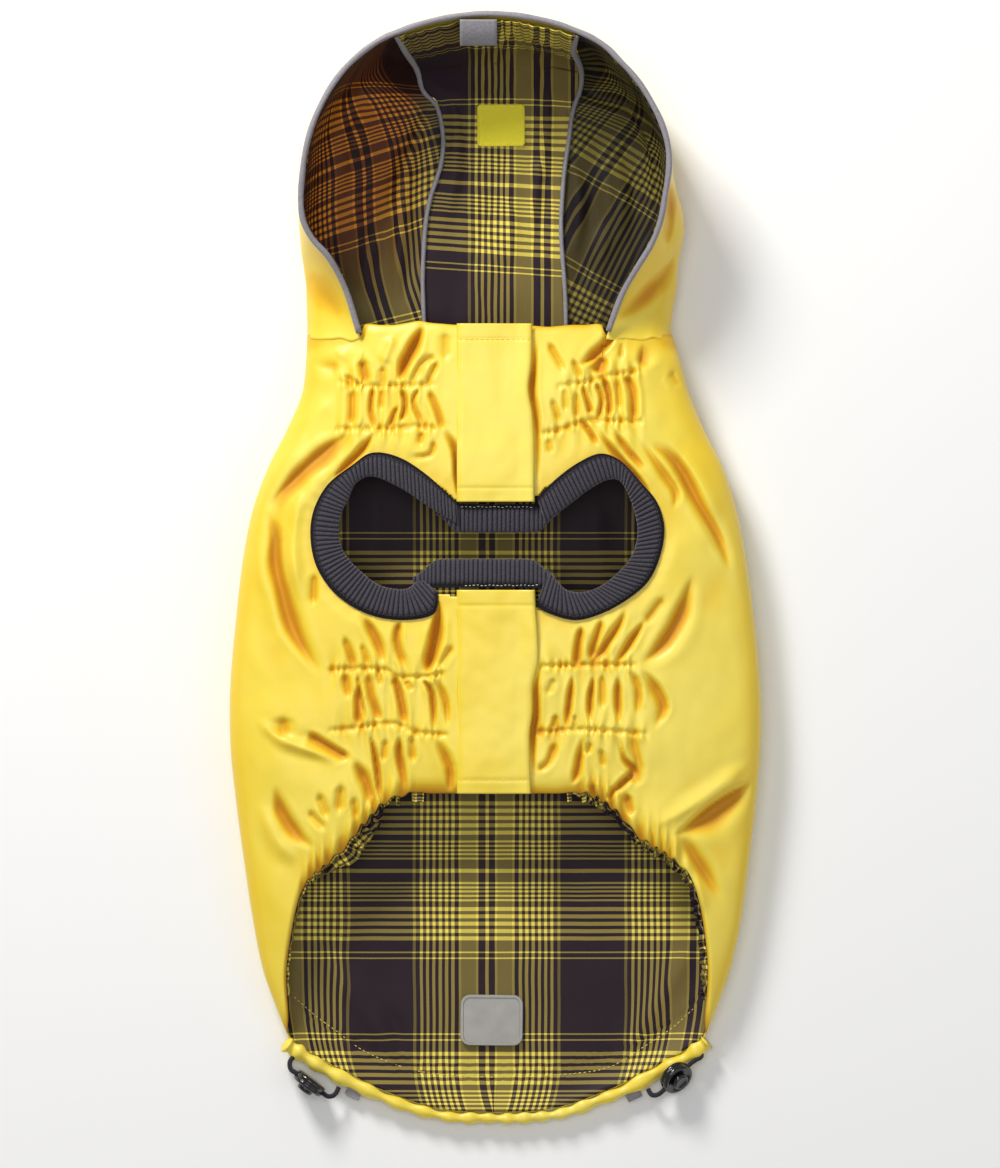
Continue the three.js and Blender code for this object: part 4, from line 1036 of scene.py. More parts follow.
def backGrid(crumple):
    shares = [j / backSet["flat"] for j in range(backSet["flat"])]
    shares += [1 + j / backSet["roll"] for j in range(backSet["roll"] + 1)]
    columns = [(-1, s) for s in shares[:0:-1]] + [(1, s) for s in shares]
    grid, uvs = [], []
    for i in range(backSet["rows"]):
        down = i / (backSet["rows"] - 1)
        line, uvLine = [], []
        for side, share in columns:
            endX = abs(backPlace(side, -245, share)[0])
            end = readAt(tailHem, "x", "y", endX)
            y = lerp(bodySet["neck"], end, down)
            x, z, level = backPlace(side, y, share)
            near = max(1 - (y - end) / backSet["liftReach"], 0)
            z += level * backSet["lift"] * near * near
            if crumple:
                z += crumple * level * liningLift(x, y)
            line.append(Vector((x, y, z)))
            uvLine.append(((x + 4.5 + 0.6 * z * side) / 1000, (y + 155) / 1000))
        grid.append(line)
        uvs.append(uvLine)
    return grid, uvs


# Soft waves of the lining where it shows: at the tail and through the leg opening.
liningFolds = tableOf("high wide path", [
    (1.2, 8, [(-95, -190), (-66, -228), (-40, -262)]), (1.8, 8, [(102, -190), (84, -222), (60, -258)]),
    (-1.4, 5, [(-56, -222), (-50, -240), (-47, -262)]), (0.9, 9, [(40, -130), (46, -165), (52, -200)]),
    (1.0, 8, [(-70, -140), (-76, -170), (-80, -200)]), (1.5, 8, [(-62, 50), (-62, 15), (-66, -20)]),
    (1.3, 7, [(50, 44), (52, 12), (56, -20)]),
])
prepareLines(liningFolds)


def liningLift(x, y):
    lift = sum(foldLift(fold, x, y) for fold in liningFolds)
    lift += 0.5 + 0.5 * noise.noise(Vector((x / 18, y / 22, 2.2)))
    end = readAt(tailHem, "x", "y", abs(x))
    channel = y - end - 20
    lift += 0.5 * math.sin(x * 0.9 + 2 * math.sin(x * 0.13)) * math.exp(-(channel / 3.5) ** 2)
    lift -= 0.5 * math.exp(-(channel / 1.2) ** 2)
    return lift


def makeBack():
    shellGrid, shellUvs = backGrid(0)
    shell = clothWall("backShell", shellGrid, bodyInside, 0, backSet["wall"], looks["shell"], shellUvs)
    finish(shell, "shell_cloth", "back_shell")
    liningGrid, liningUvs = backGrid(1.0)
    start = backSet["wall"] + backSet["liningGap"]
    lining = clothWall("backLining", liningGrid, bodyInside, start, start + backSet["liningWall"],
                       looks["check"], liningUvs)
    finish(lining, "check_lining", "lining_back")
    declareSheet(lining, cutOf(liningGrid), ["back_shell"])
    return shellGrid, liningGrid, shell


floor = linkMesh("floor", [Vector((-4, -4, 0)), Vector((4, -4, 0)), Vector((4, 4, 0)), Vector((-4, 4, 0))],
                 [(0, 1, 2, 3)], looks["paper"], None, False)
backShellGrid, backLiningGrid, backShell = makeBack()
print("back and lining ready")

# Hood.

hoodLeft = tableOf("rimX rimY rimZ out seamX seamY seamZ", [
    (-68.6, 118.3, 33, -96.5, -36.5, 118.3, 0), (-78.8, 149.0, 41, -97.5, -38.0, 146.0, 0),
    (-92.0, 167.0, 47, -98.5, -36.0, 170.0, 0), (-98.0, 182.0, 51, -99.5, -33.0, 190.0, 0),
    (-98.0, 200.0, 54, -98.5, -28.5, 208.0, 0), (-93.6, 222.0, 56, -93.8, -27.3, 225.0, 0),
    (-82.4, 245.0, 57, -82.0, -30.0, 239.0, 1), (-69.0, 260.0, 58, -69.0, -38.0, 248.0, 7),
    (-58.0, 267.5, 58, -59.0, -41.0, 259.0, 20), (-50.0, 271.0, 58, -51.0, -46.0, 267.0, 46),
])
hoodRight = tableOf("rimX rimY rimZ out seamX seamY seamZ", [
    (56.2, 118.3, 34, 89.5, 36.0, 118.3, 0), (66.0, 143.0, 41, 91.5, 35.0, 142.0, 0),
    (78.8, 163.0, 46, 94.0, 34.4, 165.0, 0), (85.4, 182.0, 50, 94.5, 34.4, 186.0, 0),
    (88.0, 203.0, 54, 90.5, 34.8, 205.0, 0), (85.5, 222.0, 56, 87.0, 38.0, 223.0, 0),
    (74.7, 243.5, 57, 75.5, 41.0, 238.0, 1), (64.0, 256.0, 58, 65.0, 43.0, 248.0, 7),
    (53.8, 265.5, 58, 55.0, 43.0, 259.0, 20), (41.0, 272.0, 58, 42.0, 39.0, 268.0, 46),
])
hoodSet = {
    "rows": 130, "columns": 90, "centreColumns": 80, "wall": 0.6, "liningGap": 0.5, "liningWall": 0.5,
    "brimHigh": 58.0, "brimBulge": 8.5, "brimRows": 14, "wave": 1.5, "allowance": 1.6,
    "lapShare": 0.05, "lapDown": 1.6, "lapWave": 1.8, "lapUp": 0.55,
    "shellRipple": 0.3, "liningRipple": 0.9, "fullShadeAt": 2.6,
}
# The flat place in the bowl where the patch is sewn on.
patchFlat = {"x": 2.8, "y": 227, "halfX": 13, "halfY": 12, "fade": 12, "low": 14, "across": 30}
hoodInside = Vector((0, 195, 40))


def neckSection(side, seamX, rimX, y):
    reach = bodyReach(side, y)
    seam = bodyHigh(y) * bodySet["seamShare"]
    flat = reach - bodySet["corner"]
    points = [Vector((seamX, y, 0))]
    for step in range(13):
        turn = step / 12 * math.pi / 2
        x = side * (flat + bodySet["corner"] * math.sin(turn))
        points.append(Vector((x, y, seam * (1 - math.cos(turn)))))
    for step in range(1, 16):
        x = side * reach + (rimX - side * reach) * step / 15
        points.append(Vector((x, y, bellyHigh(x, y))))
    return points


bowlStops = tableOf("x y z", [
    (0, 0, 0), (0.5, 0.3, 0), (0.86, 0.6, 0.04), (1, 0.85, 0.42),
])


def bowlSection(row):
    rise, runX, runY = row["rimZ"] - row["seamZ"], row["out"] - row["seamX"], row["rimY"] - row["seamY"]
    points = [
        Vector((row["seamX"] + s["x"] * runX, row["seamY"] + s["y"] * runY, row["seamZ"] + s["z"] * rise))
        for s in bowlStops
    ]
    points.append(Vector((row["rimX"], row["rimY"], row["rimZ"])))
    return smoothPath(points, 12)


# Folds of the hood: positive ones come in towards the bowl.
hoodShellFolds = tableOf("high wide path", [
    (3.0, 4.5, [(95, 171), (84, 146), (62, 125)]), (-2.2, 6, [(94, 190), (92, 166), (80, 138)]),
    (2.4, 4, [(88, 198), (90, 176), (86, 160)]), (1.4, 7, [(-97, 162), (-89, 142), (-77, 124)]),
    (-1.2, 8, [(-99, 190), (-96, 165), (-88, 138)]),
])
outerFolds = tableOf("high wide path", [
    (1.6, 6, [(-70, 150), (-52, 185), (-48, 225)]), (-1.3, 7, [(-60, 140), (-66, 178), (-64, 214)]),
    (1.7, 6, [(48, 140), (58, 178), (55, 222)]), (-1.2, 8, [(72, 150), (70, 190), (66, 225)]),
])
prepareLines(outerFolds)
hoodLiningFolds = tableOf("high wide path", [
    (3.4, 5, [(-31, 242), (-45, 208), (-49, 165), (-51, 133)]),
    (2.0, 7, [(-60, 250), (-71, 226), (-74, 190)]), (1.8, 6, [(-62, 178), (-66, 155), (-62, 135)]),
    (3.6, 4, [(43, 248), (52, 243), (73, 235), (83, 212), (80, 176)]),
    (2.2, 5, [(39, 215), (43, 185), (40, 160)]), (1.8, 8, [(60, 215), (66, 190), (60, 160)]),
    (1.9, 4, [(23, 256), (26, 230), (20, 190), (18, 165)]), (1.3, 6, [(6, 212), (8, 180), (4, 150)]),
    (2.0, 5, [(-22, 245), (-20, 215), (-24, 180)]), (1.5, 6, [(-8, 262), (-5, 240), (-12, 205)]),
])
prepareLines(hoodShellFolds)
prepareLines(hoodLiningFolds)


# painted shade on the hood shell, darker where its folds sink in towards the bowl
def paintedShadeOf(grid, folds):
    return [[clamp(sum(foldLift(fold, p.x, p.y) for fold in folds) / hoodSet["fullShadeAt"]) for p in line]
            for line in grid]


def pushGrid(grid, folds, ripple):
    normals = gridNormals(grid, hoodInside)
    for line, normalLine in zip(grid, normals):
        for j, p in enumerate(line):
            lift = sum(foldLift(fold, p.x, p.y) for fold in folds)
            lift += ripple * (noise.noise(Vector((p.x / 13, p.y / 19, p.z / 17))) + 0.4)
            fade = ease((p.y - 119) / 14)
            fromX, fromY = abs(p.x - patchFlat["x"]), abs(p.y - patchFlat["y"])
            if abs(p.z) < patchFlat["low"] and fromX < patchFlat["across"]:
                fade *= ease(max(fromX - patchFlat["halfX"], fromY - patchFlat["halfY"]) / patchFlat["fade"])
            q = p - normalLine[j] * (lift * fade)
            line[j] = Vector((q.x, q.y, max(q.z, 0)))
    return grid


def hoodSideGrid(side, table, lining):
    grid, uvs = [], []
    along = 0.0
    previous = None
    for i in range(hoodSet["rows"]):
        share = i / (hoodSet["rows"] - 1)
        row = rowAt(table, share)
        row["seamX"] += side * 0.15
        bowl = resample(bowlSection(row), hoodSet["columns"])
        neck = resample(neckSection(side, row["seamX"], row["rimX"], row["seamY"]), hoodSet["columns"])
        blend = clamp(1 - share / 0.12)
        line, uvLine = [], []
        spent = 0.0
        middle = bowl[len(bowl) // 2]
        if previous is not None:
            along += (middle - previous).length
        previous = middle
        for j, point in enumerate(bowl):
            across = j / (hoodSet["columns"] - 1)
            mixed = point.lerp(neck[j], blend)
            wave = hoodSet["wave"] * noise.noise(Vector((side * 3 + across * 3.2, share * 5.0, 0.5)))
            wave += 0.7 * noise.noise(Vector((side * 9 + across * 8, share * 13.0, 4.5)))
            strength = math.sin(math.pi * clamp(across)) * ease(share / 0.1)
            if lining:
                mixed = mixed + Vector((-side * 0.5, 0, 0.8)) * (abs(wave) * strength)
            else:
                mixed = mixed + Vector((side * 0.6, 0.0, 0.0)) * (wave * strength)
            lap = clamp(1 - share / hoodSet["lapShare"])
            if not lining and mixed.z > 12:
                uneven = noise.noise(Vector((mixed.x / 7, side * 4, 2.0)))
                mixed.y -= lap * (hoodSet["lapDown"] + hoodSet["lapWave"] * uneven)
                mixed.z += lap * hoodSet["lapUp"]
            mixed.z = max(mixed.z, 0)
            if line:
                spent += (mixed - line[-1]).length
            line.append(mixed)
            uvLine.append((spent, along))
        grid.append(line)
        uvs.append(uvLine)
    folds = hoodShellFolds + outerFolds + (hoodLiningFolds if lining else [])
    return pushGrid(grid, folds, hoodSet["liningRipple"] if lining else hoodSet["shellRipple"]), uvs


def turnedUvs(uvs, turn, moveU, moveV):
    c, s = math.cos(turn), math.sin(turn)
    return [
        [((u * c - v * s + moveU) / 1000, (u * s + v * c + moveV) / 1000) for u, v in line]
        for line in uvs
    ]


def hoodCentrePoint(share, across):
    left, right = rowAt(hoodLeft, share), rowAt(hoodRight, share)
    allowance = hoodSet["allowance"] * ease((share - 0.7) / 0.25) - 0.15
    x1, x2 = left["seamX"] - allowance, right["seamX"] + allowance
    bow = 4 * across * (1 - across)
    lift = max((share - 0.62) / 0.38, 0)
    return Vector((
        lerp(x1, x2, across),
        lerp(left["seamY"], right["seamY"], across) + bow * hoodSet["brimBulge"] * lift,
        max(lerp(left["seamZ"], right["seamZ"], across), 0),
    ))


def hoodCentreGrid(lining):
    grid, uvs = [], []
    shares = [i / (hoodSet["rows"] - 1) for i in range(hoodSet["rows"])]
    along = 0.0
    extra = hoodSet["brimRows"]
    for i in range(hoodSet["rows"] + extra):
        line = []
        for j in range(hoodSet["centreColumns"]):
            across = j / (hoodSet["centreColumns"] - 1)
            bow = 4 * across * (1 - across)
            if i < hoodSet["rows"]:
                point = hoodCentrePoint(shares[i], across)
                share = shares[i]
            else:
                up = (i - hoodSet["rows"] + 1) / extra
                last = hoodCentrePoint(1, across)
                brimX = lerp(hoodLeft[-1]["rimX"] - 0.4, hoodRight[-1]["rimX"] + 0.4, across)
                brimY = lerp(hoodLeft[-1]["rimY"], hoodRight[-1]["rimY"], across)
                top = Vector((brimX, brimY + bow * (hoodSet["brimBulge"] + 0.5), hoodSet["brimHigh"]))
                point = last.lerp(top, up)
                share = 1.0
            if lining:
                ripple = 0.9 * abs(noise.noise(Vector((across * 5, share * 6, 7.7)))) * ease(share / 0.1)
                side = 0.55 * abs(math.sin(across * 9.5 + 3 * share)) * ease((share - 0.15) / 0.3)
                inward = Vector((0, -1, 0)) if share > 0.85 else Vector((0, 0, 1))
                gather = 1.5 * math.sin(across * 46 + 2.2 * math.sin(across * 9)) * ease((share - 0.8) / 0.2)
                point = point + inward * (ripple + side + 0.6 * ease((share - 0.8) / 0.2) + abs(gather) * 0.7)
            line.append(point)
        if grid:
            along += (line[len(line) // 2] - grid[-1][len(line) // 2]).length
        uvLine = [((p.x - 24) / 1000, (118.3 + along - 197) / 1000) for p in line]
        grid.append(line)
        uvs.append(uvLine)
    return (pushGrid(grid, hoodLiningFolds, hoodSet["liningRipple"]) if lining else grid), uvs


def makeHood():
    plan = tableOf("name side table look turn u v", [
        ("Left", -1, hoodLeft, "checkWarm", 0.26, -16, 30), ("Right", 1, hoodRight, "checkShade", 0.5, 24, 8),
    ])
    start = hoodSet["wall"] + hoodSet["liningGap"]
    rims = {}
    for panel in plan:
        grid, uvs = hoodSideGrid(panel["side"], panel["table"], False)
        shell = clothWall("hood" + panel["name"], grid, hoodInside, 0, hoodSet["wall"], looks["shell"],
                          None, None, paintedShadeOf(grid, hoodShellFolds))
        finish(shell, "shell_cloth", "hood_" + panel["name"].lower())
        declareSheet(shell, cutOf(grid), ["floor"])
        rims[panel["name"]] = [line[-1] for line in grid]
        grid, uvs = hoodSideGrid(panel["side"], panel["table"], True)
        uvs = turnedUvs(uvs, panel["turn"], panel["u"], panel["v"])
        lining = clothWall("hoodLining" + panel["name"], grid, hoodInside, start,
                           start + hoodSet["liningWall"], looks[panel["look"]], uvs)
        finish(lining, "check_lining", "hood_lining_" + panel["name"].lower())
        declareSheet(lining, cutOf(grid), ["hood_" + panel["name"].lower()])
    grid, uvs = hoodCentreGrid(False)
    shell = clothWall("hoodCentre", grid, hoodInside, 0, hoodSet["wall"], looks["shell"], uvs)
    finish(shell, "shell_cloth", "hood_centre")
    declareSheet(shell, cutOf(grid), ["floor"])
    rims["Centre"] = grid[-1]
    grid, uvs = hoodCentreGrid(True)
    lining = clothWall("hoodLiningCentre", grid, hoodInside, start, start + hoodSet["liningWall"],
                       looks["check"], uvs)
    finish(lining, "check_lining", "hood_lining_centre")
    declareSheet(lining, cutOf(grid), ["hood_centre"])
    return rims, grid


hoodRims, centreLining = makeHood()
print("hood ready")

# Piping.

pipingSet = {"radius": 1.5, "seamRadius": 1.15, "lift": 1.9, "seamLift": 2.8, "seamEnd": 0.97}


def makePiping():
    left, right, brim = hoodRims["Left"], hoodRims["Right"], hoodRims["Centre"]
    lift = Vector((0, 0, pipingSet["lift"]))
    path = left[2::3] + brim[2:-2:3] + right[::-1][:-2:3]
    path = smoothPath([p + lift for p in path[::3]], 5)

    def radiusAt(i, turn):
        return pipingSet["radius"] * (1 + 0.05 * math.sin(i * 0.7) + 0.04 * math.sin(turn * 3 + i * 0.25))

    piece = tubeAlong("pipingRim", path, radiusAt, looks["tape"], 14)
    finish(piece, "grey_tape", "piping_rim")

    def seamRadiusAt(i, turn):
        # fuller where the seam runs up into the rim
        return pipingSet["seamRadius"] * (1 + 0.05 * math.sin(i * 0.8) + ease((i - 95) / 30) * 0.35)

    above = pipingSet["seamLift"] + pipingSet["radius"] * 0.6
    for name, table in (("Left", hoodLeft), ("Right", hoodRight)):
        points = []
        for i in range(26):
            share = i / 25 * pipingSet["seamEnd"]
            row, ahead = rowAt(table, share), rowAt(table, share + 0.02)
            dy, dz = ahead["seamY"] - row["seamY"], ahead["seamZ"] - row["seamZ"]
            length = max(math.hypot(dy, dz), 1e-6)
            wander = 0.7 * math.sin(share * 17)
            points.append(Vector((row["seamX"] + wander, row["seamY"] - dz / length * above,
                                  max(row["seamZ"], 0) + dy / length * above)))
        corner = Vector((table[-1]["rimX"], table[-1]["rimY"] - 1.8, table[-1]["rimZ"] - 0.6))
        points += [points[-1].lerp(corner, 0.5), corner]
        seam = tubeAlong("pipingSeam" + name, smoothPath(points, 5), seamRadiusAt, looks["tape"], 12)
        finish(seam, "grey_tape", "piping_seam_" + name.lower())


makePiping()
print("piping ready")

# Rib binding of the leg opening.

ribSet = {
    "pitch": 2.35, "perRib": 7, "around": 20, "thick": 3.0, "groove": 0.7, "proud": 1.3, "drop": 1.6,
    "bridgeDrop": 3.0,
}
upperBridge = {"x1": -30, "x2": 32, "outY": 33.2, "inY": 18.5}
lowerBridge = {"x1": -42, "x2": 31, "outY": -10.2, "inY": 4.6}


def ribBand(name, stations, material):
    # stations are (outer, inner) points; the section is a folded band with ribs across its width
    middle = [(a + b) / 2 for a, b in stations]
    lengths = [0.0]
    for a, b in zip(middle, middle[1:]):
        lengths.append(lengths[-1] + (b - a).length)
    steps = int(lengths[-1] / ribSet["pitch"] * ribSet["perRib"])
    around = ribSet["around"]
    points, faces, uvs = [], [], []
    k = 1
    for i in range(steps + 1):
        target = lengths[-1] * i / steps
        while k < len(lengths) - 1 and lengths[k] < target:
            k += 1
        t = clamp((target - lengths[k - 1]) / max(lengths[k] - lengths[k - 1], 1e-6))
        outer = stations[k - 1][0].lerp(stations[k][0], t)
        inner = stations[k - 1][1].lerp(stations[k][1], t)
        phase = target / ribSet["pitch"]
        wobble = 0.25 * noise.noise(Vector((target / 9, 0.3, len(name))))
        ridge = abs(math.cos(math.pi * (phase + wobble)))
        end = ease(min(i, steps - i) / 5 + 0.15)
        for s in range(around):
            turn = 2 * math.pi * s / around
            side = math.cos(turn)
            share = (1 - side) / 2
            up = math.sin(turn)
            dome = abs(up) ** 0.75 * (1 if up > 0 else -1)
            groove = ribSet["groove"] * (1 - ridge) * ease(share / 0.22)
            seamStep = 0.9 * ease((0.2 - share) / 0.1)
            high = (ribSet["thick"] / 2) * dome - (groove + seamStep if up > 0 else -groove * 0.4)
            p = outer.lerp(inner, share)
            points.append(toRow(p.x, p.y, p.z + high * end))
            uvs.append((phase + wobble, share))
    for i in range(steps):
        for s in range(around):
            n = (s + 1) % around
            faces.append((i * around + s, i * around + n, (i + 1) * around + n, (i + 1) * around + s))
    faces.append(tuple(range(around)))
    faces.append(tuple(steps * around + s for s in range(around))[::-1])
    piece = linkMesh(name, points, faces, material, uvs)
    recalc(piece)
    return piece


def lobeStations(table):
    stations = []
    for i in range(121):
        share = i / 120
        row = rowAt(table, share)
        high = ribSet["proud"] + 0.9 * noise.noise(Vector((share * 4, 2.0, table[0]["outX"])))
        tuck = 2.4 * ease((share - 0.93) / 0.07)
        outer = Vector((row["outX"], row["outY"], bellyHigh(row["outX"], row["outY"]) + high))
        low = bellyHigh(row["inX"], row["inY"]) + high - ribSet["drop"] - tuck
        inner = Vector((row["inX"], row["inY"], low))
        stations.append((outer, inner))
    return stations


def bridgeStations(bridge):
    stations = []
    for i in range(61):
        x = lerp(bridge["x1"], bridge["x2"], i / 60)
        sag = 1.2 * math.sin(i / 60 * math.pi)
        high = bellyHigh(x, bridge["outY"]) + ribSet["proud"] - ribSet["bridgeDrop"]
        sign = 1 if bridge["outY"] > bridge["inY"] else -1
        outer = Vector((x, bridge["outY"] - sag * sign * 0.5, high))
        inner = Vector((x, bridge["inY"] - sag * sign * 0.3, high - 1.2))
        corner = 0.42 + 0.58 * ease(min(i, 60 - i) / 11)
        stations.append((outer, outer.lerp(inner, corner)))
    return stations


def makeRibs():
    plan = [
        {"name": "ribLeft", "node": "rib_left", "stations": lobeStations(leftRib)},
        {"name": "ribRight", "node": "rib_right", "stations": lobeStations(rightRib)},
        {"name": "ribTop", "node": "rib_top", "stations": bridgeStations(upperBridge)},
        {"name": "ribBottom", "node": "rib_bottom", "stations": bridgeStations(lowerBridge)},
    ]
    for part in plan:
        piece = ribBand(part["name"], part["stations"], looks["rib"])
        finish(piece, "rib_knit", part["node"])
        middle = [(a + b) / 2 for a, b in part["stations"]]
        long = sum((b - a).length for a, b in zip(middle, middle[1:])) / 1000
        wide = sum((b - a).length for a, b in part["stations"]) / len(middle) / 1000
        print(part["name"], "shown width and length", round(wide * 1000, 1), round(long * 1000, 1))


makeRibs()
print("rib binding ready")

# Tail hem, badge and hood trims.

hemSet = {"radius": 2.7, "gap": 0.1, "pucker": 0.20, "corner": 0.38, "rest": 1.25, "wander": 0.4}


def makeHem():
    edge = backShellGrid[-1]
    centre = Vector((0, -150, 0))
    points = []
    spots = edge[2:-2:3]

    def fuller(share):
        return 1 + hemSet["corner"] * ease((abs(2 * share - 1) - 0.3) / 0.6)

    for k, p in enumerate(spots):
        away = Vector((p.x - centre.x, p.y - centre.y, 0)).normalized()
        q = p + away * (hemSet["radius"] + hemSet["gap"])
        rest = hemSet["radius"] * fuller(k / (len(spots) - 1)) * hemSet["rest"]
        q.z = max(p.z, rest) + hemSet["wander"] * noise.noise(Vector((p.x / 11, 0, 0)))
        points.append(q)
    path = smoothPath(points, 6)

    def radiusAt(i, turn):
        pucker = hemSet["pucker"] * math.sin(i * 0.55 + 2 * math.sin(i * 0.05))
        pucker += 0.10 * math.sin(turn * 2 + i * 0.21)
        return hemSet["radius"] * fuller(i / (len(path) - 1)) * (1 + pucker)

    piece = tubeAlong("hemBand", path, radiusAt, looks["shell"], 16)
    finish(piece, "shell_cloth", "hem_band")
    declareSheet(backShell, cutOf(backShellGrid), ["floor"])
    long = sum((b - a).length for a, b in zip(path, path[1:])) / 1000
    print("hem band shown length", round(long * 1000, 1))


makeHem()


def roundedPlate(name, place, size, material, turn):
    # a plate with round corners and a raised rim
    x, y, z = place
    wide, long, corner, thick, rim = (size[key] for key in ("wide", "long", "corner", "thick", "rim"))
    rings = tableOf("inset z", [
        (0.35, 0.0), (0.0, 0.3), (0.0, thick - 0.3), (0.3, thick), (rim, thick),
        (rim + 0.3, thick - 0.45),
    ])
    steps, points, faces = 10, [], []
    for ring in rings:
        w, h, r = wide / 2 - ring["inset"], long / 2 - ring["inset"], max(corner - ring["inset"], 0.6)
        for quarter, (sx, sy) in enumerate([(1, 1), (-1, 1), (-1, -1), (1, -1)]):
            for k in range(steps + 1):
                angle = (quarter + k / steps) * math.pi / 2
                px, py = sx * (w - r) + r * math.cos(angle), sy * (h - r) + r * math.sin(angle)
                qx, qy = px * math.cos(turn) - py * math.sin(turn), px * math.sin(turn) + py * math.cos(turn)
                points.append(toRow(x + qx, y + qy, z + ring["z"]))
    count = 4 * (steps + 1)
    for r in range(len(rings) - 1):
        for s in range(count):
            n = (s + 1) % count
            faces.append((r * count + s, r * count + n, (r + 1) * count + n, (r + 1) * count + s))
    faces.append(tuple(range(count))[::-1])
    faces.append(tuple((len(rings) - 1) * count + s for s in range(count)))
    piece = linkMesh(name, points, faces, material)
    recalc(piece)
    piece.data.polygons.foreach_set("use_smooth", [False] * len(piece.data.polygons))
    return piece


badgeSet = {"wide": 32, "long": 26, "corner": 5.0, "thick": 2.0, "rim": 1.4, "z": 2.8}
badgePlace = (badgeMiddle["x"], badgeMiddle["y"], badgeSet["z"])
badgePiece = roundedPlate("badgePlate", badgePlace, badgeSet, looks["rubber"], -0.01)
finish(badgePiece, "clear_rubber", "badge")

# The patch lies on the highest point of the lining under it.
patchSet = {"x": 2.8, "y": 227.25, "wide": 24.4, "long": 21.5, "corner": 2.0, "thick": 1.2, "rim": 0.9}
patchLevel = max(
    p.z for line in centreLining for p in line
    if abs(p.x - patchSet["x"]) < 12 and abs(p.y - patchSet["y"]) < 11
)
patchLevel += hoodSet["wall"] + hoodSet["liningGap"] + hoodSet["liningWall"] - 0.15
patchPlace = (patchSet["x"], patchSet["y"], patchLevel)
patchPiece = roundedPlate("loopPatch", patchPlace, patchSet, looks["loop"], 0.01)
finish(patchPiece, "loop_tape", "hook_patch")

tabSet = {"x1": -18, "x2": 0.8, "topY": 277.4, "topZ": 62.2, "lowY": 265.0, "lowZ": 54.5}


def makeBrimTab():
    grid = []
    for i in range(16):
        down = i / 15
        line = []
        for j in range(12):
            x = lerp(tabSet["x1"], tabSet["x2"], j / 11)
            bulge = 1.1 * math.sin(down * math.pi)
            line.append(Vector((x, lerp(tabSet["topY"], tabSet["lowY"], down) - 0.4 * bulge,
                                lerp(tabSet["topZ"], tabSet["lowZ"], down) + bulge)))
        grid.append(line)
    piece = clothWall("brimTab", grid, hoodInside, -0.5, 0.5, looks["tape"])
    finish(piece, "grey_tape", "tape_tab_brim")
    declareSheet(piece, cutOf(grid), ["piping_rim"])


makeBrimTab()

# Drawcord, locks and their tabs.

lockPlan = [
    {
        "name": "Left", "centre": (-95.2, -263.4, 10.4), "axis": (-0.6, -0.8, 0.0),
        "cord": [
            (-102.6, -249.2, 8.6), (-105.2, -252.4, 9.6), (-104.8, -256.2, 10.2), (-102.0, -258.3, 10.4),
            (-95.2, -263.4, 10.4), (-88.4, -268.5, 10.4), (-85.4, -270.2, 10.2), (-82.2, -269.2, 9.4),
            (-80.2, -265.5, 8.6),
        ],
    },
    {
        "name": "Right", "centre": (92.5, -260.5, 10.6), "axis": (0.545, -0.545, 0.636),
        "cord": [
            (105.4, -247.8, 8.6), (105.2, -250.0, 9.4), (102.4, -251.6, 10.2), (98.5, -254.5, 10.6),
            (92.5, -260.5, 10.6), (86.5, -266.5, 10.6), (83.2, -269.2, 10.2), (80.0, -269.4, 9.4),
            (78.0, -266.4, 8.6),
        ],
    },
]
lockSet = {"cord": 2.5}
# Half sections of a lock and of its plunger: radius and height along the axis.
lockProfile = tableOf("r h", [
    (0.0, -2.8), (7.3, -2.8), (8.3, -2.3), (8.6, -1.4), (8.6, -0.5), (8.1, -0.2), (8.1, 0.5), (8.6, 0.8),
    (8.6, 1.7), (8.2, 2.5), (7.4, 2.8), (6.4, 2.75), (5.9, 2.1), (5.0, 1.9), (0.0, 1.9),
])
plungerProfile = tableOf("r h", [
    (0.0, 2.0), (4.2, 2.0), (4.4, 3.6), (4.1, 4.7), (3.5, 5.2), (2.9, 4.9), (2.2, 4.6), (0.0, 4.6),
])


def turnedProfile(name, profile, centre, axis, material, sides=48):
    axis = Vector(axis).normalized()
    first = axis.orthogonal().normalized()
    second = axis.cross(first)
    points, faces = [], []
    middle = Vector(centre)
    for row in profile:
        if row["r"] == 0:
            p = middle + axis * row["h"]
            points.append(toRow(*p))
            continue
        for s in range(sides):
            turn = 2 * math.pi * s / sides
            p = middle + axis * row["h"] + first * (row["r"] * math.cos(turn))
            points.append(toRow(*(p + second * (row["r"] * math.sin(turn)))))
    rings = len(profile) - 2
    for s in range(sides):
        n = (s + 1) % sides
        faces.append((0, 1 + n, 1 + s))
        for r in range(rings - 1):
            a = 1 + r * sides
            faces.append((a + s, a + n, a + sides + n, a + sides + s))
        a = 1 + (rings - 1) * sides
        faces.append((a + s, a + n, len(points) - 1))
    piece = linkMesh(name, points, faces, material)
    recalc(piece)
    return piece


